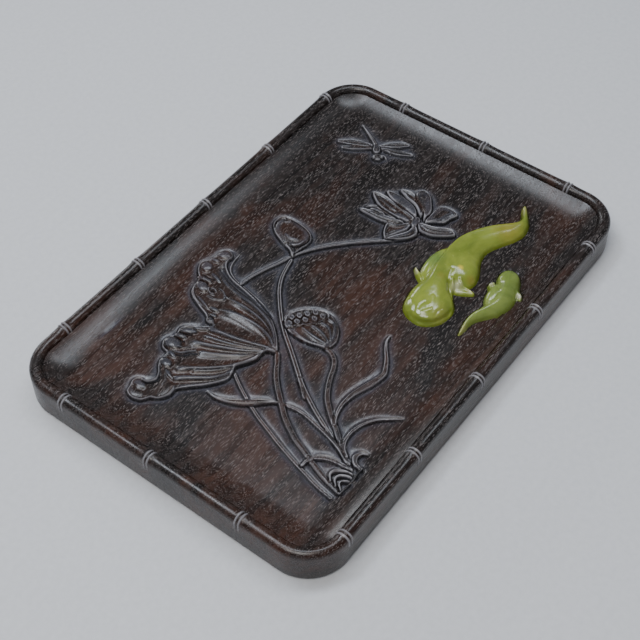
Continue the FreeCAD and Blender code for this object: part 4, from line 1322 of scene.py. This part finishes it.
# ------------------------------------------------------------------ stage and view


def add_floor():
    bpy.ops.mesh.primitive_plane_add(size=12, location=(0, 0, CAD_BOX[0][2]))
    floor = bpy.context.object
    floor.name = "studio_floor"
    floor.data.materials.append(floor_material())


# Rectangular lamps that face the middle of the tray: name, place, length and width in
# metres, power in watts, colour, and how far it is turned about its axis in degrees.
LAMPS = (
    ("bar", (0.30, 0.12, 1.25), (1.1, 0.28), 8.0, (0.86, 0.92, 1.0), -45),
    ("end_strip", (-0.22, 0.50, 1.20), (0.5, 0.22), 5.2, (0.84, 0.90, 1.0), 0),
    ("window", (0.40, 1.40, 0.42), (0.6, 0.15), 3.5, (0.95, 0.97, 1.0), 0),
    ("overhead", (-0.56, -0.10, 1.22), (0.62, 0.62), 9.0, (1.0, 0.98, 0.95), 0),
)
SKY_COLOUR = (0.9, 0.93, 1.0)
SKY_STRENGTH = 0.22


def add_lights():
    for name, place, size, power, colour, turn in LAMPS:
        light = bpy.data.lights.new(name, "AREA")
        light.shape = "RECTANGLE"
        light.size, light.size_y = size
        light.energy = power
        light.color = colour
        lamp = bpy.data.objects.new(name, light)
        bpy.context.scene.collection.objects.link(lamp)
        away = Vector(place).normalized()
        flat = Vector((math.cos(math.radians(turn)), math.sin(math.radians(turn)), 0.0))
        across = (flat - away * flat.dot(away)).normalized()
        facing = Matrix((across, away.cross(across), away)).transposed()
        lamp.matrix_world = Matrix.LocRotScale(Vector(place), facing, None)
    world = bpy.data.worlds.new("studio")
    world.use_nodes = True
    background = world.node_tree.nodes["Background"]
    background.inputs["Color"].default_value = (*SKY_COLOUR, 1)
    background.inputs["Strength"].default_value = SKY_STRENGTH
    bpy.context.scene.world = world


# The camera looks over the corner at -X, -Y, about 50 degrees down.
CAMERA_PLACE = (-0.3823, -0.2782, 0.5629)
CAMERA_BACK = (-0.5087, -0.3828, 0.7712)
CAMERA_RIGHT = (0.6013, -0.7990, 0.0)
CAMERA_LENS = 72.7


def add_camera():
    back = Vector(CAMERA_BACK)
    right = Vector(CAMERA_RIGHT)
    data = bpy.data.cameras.new("camera")
    data.sensor_width = 36
    data.lens = CAMERA_LENS
    camera = bpy.data.objects.new("camera", data)
    bpy.context.scene.collection.objects.link(camera)
    turn = Matrix((right, back.cross(right), back)).transposed()
    camera.matrix_world = Matrix.LocRotScale(Vector(CAMERA_PLACE), turn, None)
    bpy.context.scene.camera = camera


def main():
    large = Stone((2, -68), (128, -22))
    large_catfish_form(large)
    small = Stone((13, -90), (79, -63))
    small_catfish_form(small)
    tray = tray_mesh("carved_tray", (large, small))
    tray.data.materials.append(wood_material())
    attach(tray, "root")
    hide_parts("tray_board")
    big_stone = stone_material("yellow_stone", (0.155, 0.205, 0.018), (0.29, 0.345, 0.045), 1.0,
                               LARGE_TINTS_AND_HIGHLIGHTS)
    small_stone = stone_material("green_stone", (0.14, 0.20, 0.033), (0.27, 0.335, 0.075), 4.0,
                                 SMALL_TINTS)
    for name, stone, node, material in (
        ("stone_catfish_large", large, "large_catfish", big_stone),
        ("stone_catfish_small", small, "small_catfish", small_stone),
    ):
        fish = stone_mesh(name, stone)
        fish.data.materials.append(material)
        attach(fish, "root")
        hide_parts(node)
    glue = glue_material()
    for node in ("large_catfish_glue_bed", "small_catfish_glue_bed"):
        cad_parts[node].data.materials.clear()
        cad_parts[node].data.materials.append(glue)
    add_floor()
    add_lights()
    add_camera()


main()
